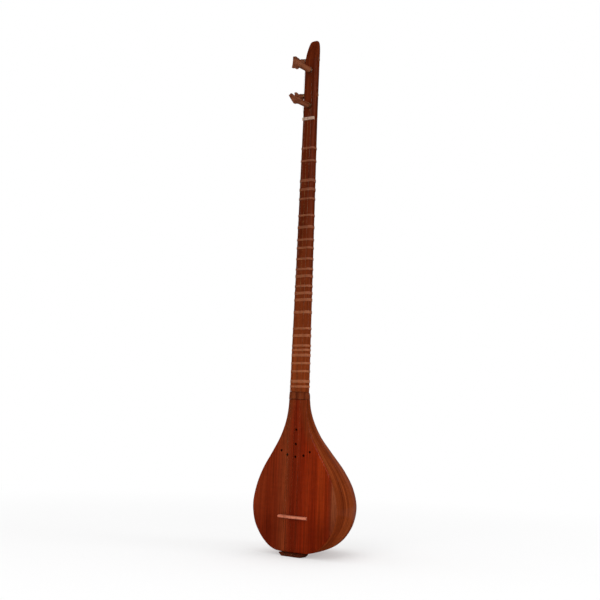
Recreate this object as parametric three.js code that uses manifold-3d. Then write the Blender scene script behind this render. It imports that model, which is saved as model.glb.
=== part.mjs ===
import * as THREE from 'three';
import Module from 'manifold-3d';
import { mergeVertices } from 'three/addons/utils/BufferGeometryUtils.js';

// A Persian long-necked lute: pear-shaped body of bent staves, slim neck with tied gut frets,
// four strings, two pegs on the front of the head and two in its side.
// Frame: X to the right seen from the front, -Y to the front, Z up along the neck.
// The origin is the middle of the tailpiece's flat underside. Lengths are in millimetres.

// Strings and frets
const STRING_LENGTH = 650;
const BRIDGE_Z = 62;
const NUT_Z = BRIDGE_Z + STRING_LENGTH;
// Distances of the frets from the nut as shares of the string length
const FRET_SHARES = [
  0.073, 0.106, 0.157, 0.18, 0.204, 0.247, 0.277, 0.309, 0.33, 0.358, 0.384, 0.402, 0.427,
  0.445, 0.462, 0.493, 0.534, 0.552, 0.577, 0.588, 0.601, 0.621, 0.641, 0.666, 0.679,
];
const WIDE_FRETS = [3, 4, 7, 12, 14, 15, 16, 18, 21, 24];
const WIDE_FRET_TURNS = 4;
const NARROW_FRET_TURNS = 3;
const GUT_DIAMETER = 0.7;
const GUT_PITCH = 1.15;
const LAST_FRET_Z = NUT_Z - FRET_SHARES[FRET_SHARES.length - 1] * STRING_LENGTH;
const LAST_FRET_TO_THROAT = 9;

// Running and seating clearances
const SEAT_GAP = 0.3;
const GLUE_GAP = 0.3;
const PEG_CLEARANCE = 0.3;
const GUT_CLEARANCE = 0.3;
const STRING_CLEARANCE = 0.3;
const CUT_OVERRUN = 5;

// Throat block
const THROAT_TOP_Z = LAST_FRET_Z - LAST_FRET_TO_THROAT;
const THROAT_COLLAR_HEIGHT = 11.4;
const THROAT_BAND_RISE = 7;
const THROAT_BAND_SHARE = 0.985;
const THROAT_TOP_SHARE = 0.955;
const THROAT_TOP_DEPTH_SHARE = 0.84;
const THROAT_CORE_LENGTH = 44;
const THROAT_SIDES = 14;
const TENON_WIDTH = 12;
const TENON_DEPTH = 9;
const TENON_LENGTH = 24;

// Bowl
const BOWL_HALF_WIDTH = 81.3;
const BOWL_DEPTH = 138;
const BOWL_BOTTOM_Z = 6.3;
const BOWL_TOP_Z = THROAT_TOP_Z - THROAT_COLLAR_HEIGHT - SEAT_GAP;
const STAVE_COUNT = 15;
const STAVE_THICKNESS = 3;
const BOWL_ROWS = 20;
const ARC_SAMPLES_PER_STAVE = 60;
// Rows from the tail to the throat: height, half width and depth as shares of the bowl's own
const BOWL_SHARES = [
  [0, 0.11, 0.09],
  [0.003, 0.32, 0.35],
  [0.011, 0.45, 0.58],
  [0.032, 0.58, 0.75],
  [0.064, 0.7, 0.85],
  [0.105, 0.81, 0.91],
  [0.179, 0.94, 0.97],
  [0.286, 1, 1],
  [0.405, 0.94, 0.94],
  [0.528, 0.79, 0.78],
  [0.651, 0.56, 0.565],
  [0.754, 0.38, 0.385],
  [0.856, 0.265, 0.26],
  [0.938, 0.22, 0.19],
  [1, 0.208, 0.163],
];

// Soundboard
const SOUNDBOARD_THICKNESS = 2.8;
const SOUND_HOLE_RADIUS = 2.1;
const SOUND_HOLE_SIDES = 12;
// Places of the sound holes: across as shares of the half width, up as shares of the bowl's height
const SOUND_HOLE_SHARES = [
  [0, 0.8],
  [0, 0.705],
  [0, 0.622],
  [-0.34, 0.658],
  [-0.195, 0.633],
  [0.195, 0.633],
  [0.34, 0.658],
];

// Neck and head
const NECK_FOOT_Z = THROAT_TOP_Z + SEAT_GAP;
const NECK_FOOT_WIDTH = 32;
const NECK_FOOT_DEPTH = 21.5;
const NECK_NUT_WIDTH = 23.3;
const NECK_NUT_DEPTH = 18.5;
const NECK_PROUD = 1.5;
const FACE_Y = -NECK_PROUD;
const HEAD_LENGTH = 139;
const HEAD_SLOPE_LENGTH = 35;
const HEAD_SLOPE_Z = NUT_Z + HEAD_LENGTH - HEAD_SLOPE_LENGTH;
const HEAD_TIP_HALF_WIDTH = 5.6;
const HEAD_TAPER_STEPS = 6;
// Right half of the neck's section: across as shares of the half width, back as shares of the depth
const NECK_SECTION_SHARES = [
  [0.94, 0],
  [1, 0.07],
  [1, 0.38],
  [0.8, 0.74],
  [0.4, 1],
];
// The head's side outline above the slope's start: back as shares of the depth, up as shares of the slope
const HEAD_FRONT_SHARES = [
  [0, 0],
  [0.16, 0.34],
  [0.36, 0.68],
  [0.5, 0.88],
  [0.6, 0.97],
  [0.72, 1],
];
const HEAD_BACK_SHARES = [
  [0.85, 0.97],
  [0.94, 0.87],
  [0.99, 0.7],
  [1, 0.5],
];

// Nut
const NUT_LENGTH = 5;
const NUT_STANDING_HEIGHT = 1.8;
const NUT_SLOT_DEPTH = 3.3;
const NUT_SIDE_INSET = 0.15;
const GROOVE_WIDTH = 1.1;
const GROOVE_DEPTH = 0.55;

// Bridge
const BRIDGE_LENGTH = 55.5;
const BRIDGE_HEIGHT = 6.2;
const BRIDGE_END_HEIGHT = 3.4;
const BRIDGE_SHOULDER_HALF = 19;
const BRIDGE_ARCH_HALF = 14;
const BRIDGE_ARCH_HEIGHT = 1.7;
const BRIDGE_ARCH_STEPS = 8;
const BRIDGE_FOOT_THICKNESS = 5;
const BRIDGE_TOP_THICKNESS = 2.6;

// Tailpiece and tail block
const TAILPIECE_TOP_WIDTH = 50;
const TAILPIECE_BOTTOM_WIDTH = 37;
const TAILPIECE_FRONT = 2.2;
const TAILPIECE_BACK = 14;
const STRING_PIN_RADIUS = 0.9;
const STRING_PIN_LENGTH = 1.8;
const STRING_PIN_SIDES = 8;
const STRING_PIN_Z = 2;
const STRING_BEND_Z = 5.5;
const TAIL_BLOCK_WIDTH = 28;
const TAIL_BLOCK_DEPTH = 26;
const TAIL_BLOCK_HEIGHT = 22;
const TAIL_PLUG_SIDES = 12;

// Pegs: places up from the nut as shares of the head's length, and how far each pair stands out
const FRONT_PEG_SHARES = [0.175, 0.611];
const SIDE_PEG_SHARES = [0.32, 0.754];
const FRONT_PEG_REACH = 48;
const SIDE_PEG_REACH = 25;
const PEG_RECESS = 0.5;
const PEG_TIP_RADIUS = 4;
const PEG_FACE_RADIUS = 4.7;
const PEG_NECK_RADIUS = 4.5;
const PEG_COLLAR_RADIUS = 5.3;
const PEG_COLLAR_LENGTH = 2;
const PEG_HEAD_LENGTH = 14;
const PEG_HEAD_HALF_WIDTH = 9.6;
const PEG_HEAD_THICKNESS = 8;
const PEG_HEAD_BEVEL = 0.9;
const PEG_SIDES = 16;
const PEG_TURN_STEPS = 10;
// The T head's right half outline: across as shares of its half width, out as shares of its length
const PEG_HEAD_SHARES = [
  [0.46, 0],
  [0.48, 0.2],
  [0.58, 0.46],
  [0.8, 0.62],
  [1, 0.7],
  [0.97, 0.96],
  [0.66, 0.92],
  [0.3, 0.85],
];

// Strings: their places across the bridge, the nut and the tailpiece are shares of the half widths there
const PLAIN_STRING_DIAMETER = 0.22;
const WOUND_STRING_DIAMETER = 0.36;
const STEEL_COLOR = 0xd8d8d4;
const BRASS_COLOR = 0xd0a850;
const WOUND_COLOR = 0xb98a3c;
const STRINGS = [
  { name: 'white', diameter: PLAIN_STRING_DIAMETER, turns: 5, color: STEEL_COLOR },
  { name: 'yellow', diameter: PLAIN_STRING_DIAMETER, turns: 5, color: BRASS_COLOR },
  { name: 'drone', diameter: PLAIN_STRING_DIAMETER, turns: 4, color: STEEL_COLOR },
  { name: 'bass', diameter: WOUND_STRING_DIAMETER, turns: 4, color: WOUND_COLOR },
];
const BRIDGE_STRING_SHARES = [0.378, -0.018, -0.389, -0.49];
const NUT_STRING_SHARES = [0.558, 0.034, -0.481, -0.67];
const TAIL_STRING_SHARES = [0.28, 0.04, -0.28, -0.44];
STRINGS.forEach((string, i) => {
  string.atBridge = BRIDGE_STRING_SHARES[i] * (BRIDGE_LENGTH / 2);
  string.atNut = NUT_STRING_SHARES[i] * (NECK_NUT_WIDTH / 2);
  string.atTail = TAIL_STRING_SHARES[i] * (TAILPIECE_TOP_WIDTH / 2);
});
const STRING_SIDES = 4;
const PEG_TURN_SPACING = 0.5;
const PEG_TURN_OFFSET = 1.5;
const PEG_TURN_LEAD = 1.9;

// Surface colours
const BOARD_COLOR = 0x8f2f14;
const STAVE_COLORS = [0x74381c, 0x7d4020];
const NECK_COLOR = 0x6b3319;
const BLOCK_COLOR = 0x7a3a1c;
const PEG_COLOR = 0x8a5a3a;
const GUT_COLOR = 0x9a5a34;
const BONE_COLOR = 0xcfc5b8;
const BRIDGE_COLOR = 0xb36651;
const TAILPIECE_COLOR = 0x5a2614;

const wasm = await Module();
wasm.setup();

const lute = new THREE.Group();

// Helpers

function addPart(name, geometry, color, roughness = 0.45, metalness = 0) {
  const mesh = new THREE.Mesh(geometry, new THREE.MeshStandardMaterial({ color, roughness, metalness }));
  mesh.name = name;
  lute.add(mesh);
  return mesh;
}

function toSolid(geometry) {
  const bare = geometry.clone();
  bare.deleteAttribute('normal');
  bare.deleteAttribute('uv');
  const merged = mergeVertices(bare);
  return new wasm.Manifold(new wasm.Mesh({
    numProp: 3,
    vertProperties: new Float32Array(merged.attributes.position.array),
    triVerts: new Uint32Array(merged.index.array),
  }));
}

function toGeometry(solid) {
  const mesh = solid.getMesh();
  const geometry = new THREE.BufferGeometry();
  geometry.setAttribute('position', new THREE.BufferAttribute(new Float32Array(mesh.vertProperties), 3));
  geometry.setIndex(new THREE.BufferAttribute(new Uint32Array(mesh.triVerts), 1));
  geometry.computeVertexNormals();
  return geometry;
}

// Signed volume of a triangle list: negative where the faces point inwards
function signedVolume(points, triangles) {
  let sum = 0;
  for (let i = 0; i < triangles.length; i += 3) {
    const [a, b, c] = [points[triangles[i]], points[triangles[i + 1]], points[triangles[i + 2]]];
    sum += a.dot(b.clone().cross(c)) / 6;
  }
  return sum;
}

// One closed body through rings of points that all hold the same count
function loft(rings) {
  const count = rings[0].length;
  const points = rings.flat();
  const triangles = [];
  for (let ring = 0; ring < rings.length - 1; ring += 1) {
    for (let i = 0; i < count; i += 1) {
      const a = ring * count + i;
      const b = ring * count + ((i + 1) % count);
      triangles.push(a, b, b + count, a, b + count, a + count);
    }
  }
  const top = (rings.length - 1) * count;
  for (let i = 1; i < count - 1; i += 1) {
    triangles.push(0, i + 1, i, top, top + i, top + i + 1);
  }
  if (signedVolume(points, triangles) < 0) {
    triangles.reverse();
  }
  const geometry = new THREE.BufferGeometry().setFromPoints(points);
  geometry.setIndex(triangles);
  geometry.computeVertexNormals();
  return geometry;
}

// A box between two corners
function boxBetween(low, high) {
  const size = new THREE.Vector3().subVectors(high, low);
  const middle = new THREE.Vector3().addVectors(low, high).multiplyScalar(0.5);
  return new THREE.BoxGeometry(size.x, size.y, size.z).translate(middle.x, middle.y, middle.z);
}

// An outline of x and z values, extruded along Y from its front to its back
function plateAlongY(shape, front, back) {
  const geometry = new THREE.ExtrudeGeometry(shape, { depth: back - front, bevelEnabled: false });
  return geometry.rotateX(Math.PI / 2).translate(0, back, 0);
}

// An outline of y and z values, extruded along X to both sides
function plateAlongX(outline, halfWidth) {
  const shape = new THREE.Shape(outline.map(([y, z]) => new THREE.Vector2(y, z)));
  const geometry = new THREE.ExtrudeGeometry(shape, { depth: 2 * halfWidth, bevelEnabled: false });
  const turn = new THREE.Matrix4().makeBasis(
    new THREE.Vector3(0, 1, 0),
    new THREE.Vector3(0, 0, 1),
    new THREE.Vector3(1, 0, 0),
  );
  return geometry.applyMatrix4(turn).translate(-halfWidth, 0, 0);
}

// Bowl: every row is a half ellipse behind the soundboard's back

const RIM_Y = SOUNDBOARD_THICKNESS + SEAT_GAP;
const BOWL_HEIGHT = BOWL_TOP_Z - BOWL_BOTTOM_Z;

function bowlRows() {
  const guides = BOWL_SHARES.map(([up, across, back]) => new THREE.Vector3(
    across * BOWL_HALF_WIDTH,
    back * BOWL_DEPTH,
    BOWL_BOTTOM_Z + up * BOWL_HEIGHT,
  ));
  const curve = new THREE.CatmullRomCurve3(guides, false, 'centripetal');
  const points = curve.getSpacedPoints(BOWL_ROWS);
  return points.map((point, i) => {
    const before = points[Math.max(i - 1, 0)];
    const after = points[Math.min(i + 1, BOWL_ROWS)];
    const rise = after.z - before.z;
    return {
      half: point.x,
      depth: point.y,
      z: point.z,
      flat: i === BOWL_ROWS,
      acrossNormal: new THREE.Vector2(rise, before.x - after.x).normalize(),
      backNormal: new THREE.Vector2(rise, before.y - after.y).normalize(),
    };
  });
}

const ROWS = bowlRows();

// A point on the bowl at an angle from the right rim (0) to the left rim (pi), moved inwards by an inset
function bowlPoint(row, angle, inset) {
  const across = row.half - inset * (row.flat ? 1 : row.acrossNormal.x);
  const back = row.depth - inset * (row.flat ? 1 : row.backNormal.x);
  const cos = Math.cos(angle);
  const sin = Math.sin(angle);
  const lift = row.flat ? 0 : row.acrossNormal.y * cos * cos + row.backNormal.y * sin * sin;
  return new THREE.Vector3(across * cos, RIM_Y + back * sin, row.z - inset * lift);
}

// Angles that share the widest row's arc into equal staves
function staveAngles() {
  const widest = ROWS.reduce((best, row) => (row.half > best.half ? row : best));
  const steps = ARC_SAMPLES_PER_STAVE * STAVE_COUNT;
  const lengths = [0];
  for (let i = 1; i <= steps; i += 1) {
    const before = bowlPoint(widest, (Math.PI * (i - 1)) / steps, 0);
    const after = bowlPoint(widest, (Math.PI * i) / steps, 0);
    lengths.push(lengths[i - 1] + before.distanceTo(after));
  }
  const angles = [];
  for (let stave = 0; stave <= STAVE_COUNT; stave += 1) {
    const wanted = (lengths[steps] * stave) / STAVE_COUNT;
    const i = Math.min(lengths.findIndex((length) => length >= wanted - Number.EPSILON), steps);
    angles.push((Math.PI * i) / steps);
  }
  return angles;
}

function staveGeometry(low, high) {
  const rings = ROWS.map((row) => {
    const halfGap = (angle) => {
      const speed = Math.hypot(row.half * Math.sin(angle), row.depth * Math.cos(angle));
      return GLUE_GAP / 2 / speed;
    };
    const start = low === 0 ? low : low + halfGap(low);
    const end = high === Math.PI ? high : high - halfGap(high);
    return [
      bowlPoint(row, start, 0),
      bowlPoint(row, (start + end) / 2, 0),
      bowlPoint(row, end, 0),
      bowlPoint(row, end, STAVE_THICKNESS),
      bowlPoint(row, start, STAVE_THICKNESS),
    ];
  });
  return loft(rings);
}

function addBowl() {
  const angles = staveAngles();
  for (let stave = 0; stave < STAVE_COUNT; stave += 1) {
    const name = `stave_${String(stave + 1).padStart(2, '0')}`;
    addPart(name, staveGeometry(angles[stave], angles[stave + 1]), STAVE_COLORS[stave % 2], 0.35);
  }
}

// Soundboard: the bowl's rim outline with seven sound holes

function addSoundboard() {
  const shape = new THREE.Shape();
  ROWS.forEach((row, i) => (i ? shape.lineTo(row.half, row.z) : shape.moveTo(row.half, row.z)));
  [...ROWS].reverse().forEach((row) => shape.lineTo(-row.half, row.z));
  shape.closePath();
  const board = toSolid(plateAlongY(shape, 0, SOUNDBOARD_THICKNESS));
  const hole = new THREE.CylinderGeometry(
    SOUND_HOLE_RADIUS,
    SOUND_HOLE_RADIUS,
    SOUNDBOARD_THICKNESS + 2 * CUT_OVERRUN,
    SOUND_HOLE_SIDES,
  );
  const drilled = SOUND_HOLE_SHARES.reduce((solid, [across, up]) => {
    const place = hole.clone().translate(
      across * BOWL_HALF_WIDTH,
      SOUNDBOARD_THICKNESS / 2,
      BOWL_BOTTOM_Z + up * BOWL_HEIGHT,
    );
    return solid.subtract(toSolid(place));
  }, board);
  addPart('soundboard', toGeometry(drilled), BOARD_COLOR, 0.25);
}

// Throat block: a core between the staves' ends and a collar that shows above them

function throatRing(half, depth, front, z) {
  const ring = [new THREE.Vector3(-half, front, z), new THREE.Vector3(half, front, z)];
  for (let i = 0; i <= THROAT_SIDES; i += 1) {
    const angle = (Math.PI * i) / THROAT_SIDES;
    ring.push(new THREE.Vector3(half * Math.cos(angle), RIM_Y + depth * Math.sin(angle), z));
  }
  return ring;
}

function addThroatBlock() {
  const top = ROWS[BOWL_ROWS];
  const collarBottom = BOWL_TOP_Z + SEAT_GAP;
  const bandZ = BOWL_TOP_Z + THROAT_BAND_RISE;
  const collar = loft([
    throatRing(top.half, top.depth, 0, collarBottom),
    throatRing(top.half * THROAT_BAND_SHARE, top.depth * THROAT_BAND_SHARE, 0, bandZ),
    throatRing(top.half * THROAT_TOP_SHARE, top.depth * THROAT_TOP_DEPTH_SHARE, 0, THROAT_TOP_Z),
  ]);
  const inset = STAVE_THICKNESS + SEAT_GAP;
  const coreFront = RIM_Y - SEAT_GAP / 2;
  const core = loft([
    throatRing(top.half - inset, top.depth - inset, coreFront, BOWL_TOP_Z - THROAT_CORE_LENGTH),
    throatRing(top.half - inset, top.depth - inset, coreFront, bandZ),
  ]);
  const mortise = boxBetween(
    new THREE.Vector3(
      -TENON_WIDTH / 2 - SEAT_GAP,
      TENON_MIDDLE_Y - TENON_DEPTH / 2 - SEAT_GAP,
      NECK_FOOT_Z - TENON_LENGTH - SEAT_GAP,
    ),
    new THREE.Vector3(
      TENON_WIDTH / 2 + SEAT_GAP,
      TENON_MIDDLE_Y + TENON_DEPTH / 2 + SEAT_GAP,
      THROAT_TOP_Z + CUT_OVERRUN,
    ),
  );
  const block = toSolid(collar).add(toSolid(core)).subtract(toSolid(mortise));
  addPart('throat_block', toGeometry(block), BLOCK_COLOR, 0.35);
}

// Neck and head

const HEAD_TIP_Z = NUT_Z + HEAD_LENGTH;
const TENON_MIDDLE_Y = FACE_Y + NECK_FOOT_DEPTH / 2 + SEAT_GAP;

// The neck's width and depth at a height: tapered up to the nut, then straight
function neckSize(z) {
  const share = Math.min((z - NECK_FOOT_Z) / (NUT_Z - NECK_FOOT_Z), 1);
  return {
    half: THREE.MathUtils.lerp(NECK_FOOT_WIDTH, NECK_NUT_WIDTH, share) / 2,
    depth: THREE.MathUtils.lerp(NECK_FOOT_DEPTH, NECK_NUT_DEPTH, share),
  };
}

// The neck's section as points in x and y, anticlockwise seen from above, from the back's right corner
function neckOutline(z) {
  const { half, depth } = neckSize(z);
  const right = NECK_SECTION_SHARES.map(([across, back]) => (
    new THREE.Vector2(across * half, FACE_Y + back * depth)
  ));
  const left = right.map((point) => new THREE.Vector2(-point.x, point.y));
  return [...right, ...left.reverse()];
}

// A convex outline moved outwards by a distance, its corners kept sharp
function offsetOutline(outline, distance) {
  return outline.map((point, i) => {
    const before = outline[(i + outline.length - 1) % outline.length];
    const after = outline[(i + 1) % outline.length];
    const into = point.clone().sub(before).normalize();
    const out = after.clone().sub(point).normalize();
    const bisector = new THREE.Vector2(into.y + out.y, -into.x - out.x).normalize();
    const reach = distance / (bisector.x * into.y - bisector.y * into.x);
    return point.clone().addScaledVector(bisector, reach);
  });
}

// A tapered hole round a peg, wider at its mouth and open at both ends
function pegHole(place) {
  const slope = (PEG_FACE_RADIUS - PEG_TIP_RADIUS) / place.sunk;
  const near = PEG_FACE_RADIUS + PEG_CLEARANCE + slope * CUT_OVERRUN;
  const far = PEG_TIP_RADIUS + PEG_CLEARANCE - slope * CUT_OVERRUN;
  const hole = new THREE.CylinderGeometry(near, far, place.sunk + 2 * CUT_OVERRUN, PEG_SIDES);
  hole.applyQuaternion(new THREE.Quaternion().setFromUnitVectors(new THREE.Vector3(0, 1, 0), place.out));
  const middle = place.mouth.clone().addScaledVector(place.out, -place.sunk / 2);
  return hole.translate(middle.x, middle.y, middle.z);
}

// The side view that the head is cut to: sloping front, rounded tip, straight back
function headSideOutline() {
  const place = ([back, up]) => [
    FACE_Y + back * NECK_NUT_DEPTH,
    HEAD_SLOPE_Z + up * HEAD_SLOPE_LENGTH,
  ];
  const below = NECK_FOOT_Z - TENON_LENGTH - CUT_OVERRUN;
  const outside = NECK_FOOT_DEPTH + CUT_OVERRUN;
  return [
    [-CUT_OVERRUN, below],
    [-CUT_OVERRUN, HEAD_SLOPE_Z],
    ...HEAD_FRONT_SHARES.map(place),
    ...HEAD_BACK_SHARES.map(place),
    [outside, HEAD_SLOPE_Z],
    [outside, below],
  ];
}

// The front view that the head is cut to: the sides draw in towards the tip in a quarter ellipse
function headFrontShape() {
  const half = NECK_NUT_WIDTH / 2;
  const below = NECK_FOOT_Z - TENON_LENGTH - CUT_OVERRUN;
  const outside = NECK_FOOT_WIDTH + CUT_OVERRUN;
  const points = [
    [outside, below],
    [outside, HEAD_SLOPE_Z],
    [half, HEAD_SLOPE_Z],
  ];
  for (let i = 1; i <= HEAD_TAPER_STEPS; i += 1) {
    const angle = (Math.PI / 2) * (i / HEAD_TAPER_STEPS);
    const across = HEAD_TIP_HALF_WIDTH + (half - HEAD_TIP_HALF_WIDTH) * Math.cos(angle);
    points.push([across, HEAD_SLOPE_Z + HEAD_SLOPE_LENGTH * Math.sin(angle)]);
  }
  const left = points.map(([x, z]) => [-x, z]).reverse();
  return new THREE.Shape([...points, ...left].map(([x, z]) => new THREE.Vector2(x, z)));
}

function addNeck() {
  const rings = [NECK_FOOT_Z, NUT_Z, HEAD_TIP_Z].map((z) => (
    neckOutline(z).map((point) => new THREE.Vector3(point.x, point.y, z))
  ));
  const tenon = boxBetween(
    new THREE.Vector3(-TENON_WIDTH / 2, TENON_MIDDLE_Y - TENON_DEPTH / 2, NECK_FOOT_Z - TENON_LENGTH),
    new THREE.Vector3(TENON_WIDTH / 2, TENON_MIDDLE_Y + TENON_DEPTH / 2, NECK_FOOT_Z + CUT_OVERRUN),
  );
  const slot = boxBetween(
    new THREE.Vector3(-NECK_FOOT_WIDTH, FACE_Y - CUT_OVERRUN, NUT_Z - SEAT_GAP),
    new THREE.Vector3(NECK_FOOT_WIDTH, FACE_Y + NUT_SLOT_DEPTH, NUT_Z + NUT_LENGTH + SEAT_GAP),
  );
  const reach = NECK_FOOT_WIDTH + CUT_OVERRUN;
  const sideView = plateAlongX(headSideOutline(), reach);
  const frontView = plateAlongY(headFrontShape(), -reach, reach);
  let neck = toSolid(loft(rings)).add(toSolid(tenon));
  neck = neck.intersect(toSolid(sideView)).intersect(toSolid(frontView)).subtract(toSolid(slot));
  FRONT_PEG_SHARES.forEach((share) => {
    neck = neck.subtract(toSolid(pegHole(pegPlace('front', share))));
  });
  SIDE_PEG_SHARES.forEach((share) => {
    neck = neck.subtract(toSolid(pegHole(pegPlace('side', share))));
  });
  addPart('neck', toGeometry(neck), NECK_COLOR, 0.3);
}

// Frets: one gut tube each, wound round the neck three or four times

// A tube with four corners along a wound path: outwards, along the winding's axis, and back
function windingTube(path, spokes, axial) {
  const rings = path.map((point, i) => [
    point.clone().add(spokes[i]),
    point.clone().add(axial),
    point.clone().sub(spokes[i]),
    point.clone().sub(axial),
  ]);
  return { rings, geometry: loft(rings) };
}

// Least distance between the surface points of a wound tube that lie at least half a turn apart
function leastSelfGap(rings, stepsPerTurn) {
  let least = Infinity;
  const apart = Math.ceil(stepsPerTurn / 2);
  for (let i = 0; i < rings.length; i += 1) {
    for (let j = i + apart; j < rings.length; j += 1) {
      for (const a of rings[i]) {
        for (const b of rings[j]) {
          least = Math.min(least, a.distanceTo(b));
        }
      }
    }
  }
  return least;
}

function fretGeometry(middleZ, turns) {
  const radius = GUT_DIAMETER / 2;
  const steps = 2 * NECK_SECTION_SHARES.length;
  const path = [];
  const spokes = [];
  for (let step = 0; step <= turns * steps; step += 1) {
    const z = middleZ + GUT_PITCH * (step / steps - turns / 2);
    const corner = (step + NECK_SECTION_SHARES.length) % steps;
    const outline = neckOutline(z);
    const centre = offsetOutline(outline, GUT_CLEARANCE + radius)[corner];
    const outer = offsetOutline(outline, GUT_CLEARANCE + GUT_DIAMETER)[corner];
    path.push(new THREE.Vector3(centre.x, centre.y, z));
    spokes.push(new THREE.Vector3(outer.x - centre.x, outer.y - centre.y, 0));
  }
  const { rings, geometry } = windingTube(path, spokes, new THREE.Vector3(0, 0, radius));
  return { geometry, gap: leastSelfGap(rings, steps) };
}

function addFrets() {
  let least = Infinity;
  FRET_SHARES.forEach((share, i) => {
    const turns = WIDE_FRETS.includes(i + 1) ? WIDE_FRET_TURNS : NARROW_FRET_TURNS;
    const { geometry, gap } = fretGeometry(NUT_Z - share * STRING_LENGTH, turns);
    least = Math.min(least, gap);
    addPart(`fret_${String(i + 1).padStart(2, '0')}`, geometry, GUT_COLOR, 0.5);
  });
  console.log(`least gap between the turns of a fret: ${least.toFixed(2)} mm`);
}

// Nut and bridge, each with a groove under every string

function grooveAt(x, topY, z, length) {
  return toSolid(boxBetween(
    new THREE.Vector3(x - GROOVE_WIDTH / 2, topY - CUT_OVERRUN, z - length),
    new THREE.Vector3(x + GROOVE_WIDTH / 2, topY + GROOVE_DEPTH, z + length),
  ));
}

const NUT_TOP_Y = FACE_Y - NUT_STANDING_HEIGHT;
const BRIDGE_TOP_Y = -BRIDGE_HEIGHT;

function addNut() {
  const half = NECK_NUT_WIDTH / 2 - NUT_SIDE_INSET;
  const bar = boxBetween(
    new THREE.Vector3(-half, NUT_TOP_Y, NUT_Z),
    new THREE.Vector3(half, FACE_Y + NUT_SLOT_DEPTH - SEAT_GAP, NUT_Z + NUT_LENGTH),
  );
  const nut = STRINGS.reduce(
    (solid, string) => solid.subtract(grooveAt(string.atNut, NUT_TOP_Y, NUT_Z, 2 * NUT_LENGTH)),
    toSolid(bar),
  );
  addPart('nut', toGeometry(nut), BONE_COLOR, 0.4);
}

function bridgeShape() {
  const half = BRIDGE_LENGTH / 2;
  const shape = new THREE.Shape();
  shape.moveTo(-half, SEAT_GAP);
  shape.lineTo(-BRIDGE_ARCH_HALF, SEAT_GAP);
  shape.quadraticCurveTo(0, SEAT_GAP + 2 * BRIDGE_ARCH_HEIGHT, BRIDGE_ARCH_HALF, SEAT_GAP);
  shape.lineTo(half, SEAT_GAP);
  shape.lineTo(half, BRIDGE_END_HEIGHT);
  shape.lineTo(BRIDGE_SHOULDER_HALF, BRIDGE_HEIGHT);
  shape.lineTo(-BRIDGE_SHOULDER_HALF, BRIDGE_HEIGHT);
  shape.lineTo(-half, BRIDGE_END_HEIGHT);
  return shape;
}

function addBridge() {
  const block = new THREE.ExtrudeGeometry(bridgeShape(), {
    depth: BRIDGE_FOOT_THICKNESS,
    bevelEnabled: false,
    curveSegments: BRIDGE_ARCH_STEPS,
  });
  block.translate(0, 0, -BRIDGE_FOOT_THICKNESS / 2);
  // The outline's height points to the front and its thickness runs up the instrument
  block.applyMatrix4(new THREE.Matrix4().makeBasis(
    new THREE.Vector3(-1, 0, 0),
    new THREE.Vector3(0, -1, 0),
    new THREE.Vector3(0, 0, 1),
  ));
  block.translate(0, 0, BRIDGE_Z);
  const taper = plateAlongX([
    [0, BRIDGE_Z - BRIDGE_FOOT_THICKNESS / 2],
    [0, BRIDGE_Z + BRIDGE_FOOT_THICKNESS / 2],
    [BRIDGE_TOP_Y, BRIDGE_Z + BRIDGE_TOP_THICKNESS / 2],
    [BRIDGE_TOP_Y, BRIDGE_Z - BRIDGE_TOP_THICKNESS / 2],
  ], BRIDGE_LENGTH);
  const bridge = STRINGS.reduce((solid, string) => {
    const groove = grooveAt(string.atBridge, BRIDGE_TOP_Y, BRIDGE_Z, BRIDGE_FOOT_THICKNESS);
    return solid.subtract(groove);
  }, toSolid(block).intersect(toSolid(taper)));
  addPart('bridge', toGeometry(bridge), BRIDGE_COLOR, 0.5);
}

// Tailpiece with its string pins, and the tail block behind it

const TAILPIECE_TOP_Z = BOWL_BOTTOM_Z - SEAT_GAP;

function addTailpiece() {
  const shape = new THREE.Shape([
    new THREE.Vector2(-TAILPIECE_BOTTOM_WIDTH / 2, 0),
    new THREE.Vector2(TAILPIECE_BOTTOM_WIDTH / 2, 0),
    new THREE.Vector2(TAILPIECE_TOP_WIDTH / 2, TAILPIECE_TOP_Z),
    new THREE.Vector2(-TAILPIECE_TOP_WIDTH / 2, TAILPIECE_TOP_Z),
  ]);
  const bar = toSolid(plateAlongY(shape, -TAILPIECE_FRONT, TAILPIECE_BACK));
  const pinLength = STRING_PIN_LENGTH + CUT_OVERRUN;
  const tailpiece = STRINGS.reduce((solid, string) => {
    const pin = new THREE.CylinderGeometry(STRING_PIN_RADIUS, STRING_PIN_RADIUS, pinLength, STRING_PIN_SIDES);
    pin.translate(string.atTail, pinLength / 2 - TAILPIECE_FRONT - STRING_PIN_LENGTH, STRING_PIN_Z);
    return solid.add(toSolid(pin));
  }, bar);
  addPart('tailpiece', toGeometry(tailpiece), TAILPIECE_COLOR, 0.4);
}

function addTailBlock() {
  const end = ROWS[0];
  const blockBottom = BOWL_BOTTOM_Z + STAVE_THICKNESS + 2 * SEAT_GAP;
  const plugRing = (z) => {
    const ring = [];
    for (let i = 0; i <= TAIL_PLUG_SIDES; i += 1) {
      const angle = (Math.PI * i) / TAIL_PLUG_SIDES;
      ring.push(new THREE.Vector3(
        (end.half - SEAT_GAP) * Math.cos(angle),
        RIM_Y + SEAT_GAP + (end.depth - 2 * SEAT_GAP) * Math.sin(angle),
        z,
      ));
    }
    return ring;
  };
  const plug = loft([plugRing(BOWL_BOTTOM_Z), plugRing(blockBottom + SEAT_GAP)]);
  const block = boxBetween(
    new THREE.Vector3(-TAIL_BLOCK_WIDTH / 2, RIM_Y, blockBottom),
    new THREE.Vector3(TAIL_BLOCK_WIDTH / 2, RIM_Y + TAIL_BLOCK_DEPTH, blockBottom + TAIL_BLOCK_HEIGHT),
  );
  addPart('tail_block', toGeometry(toSolid(plug).add(toSolid(block))), BLOCK_COLOR, 0.6);
}

// Pegs, built along +Z from the tip and then laid into their holes

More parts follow.
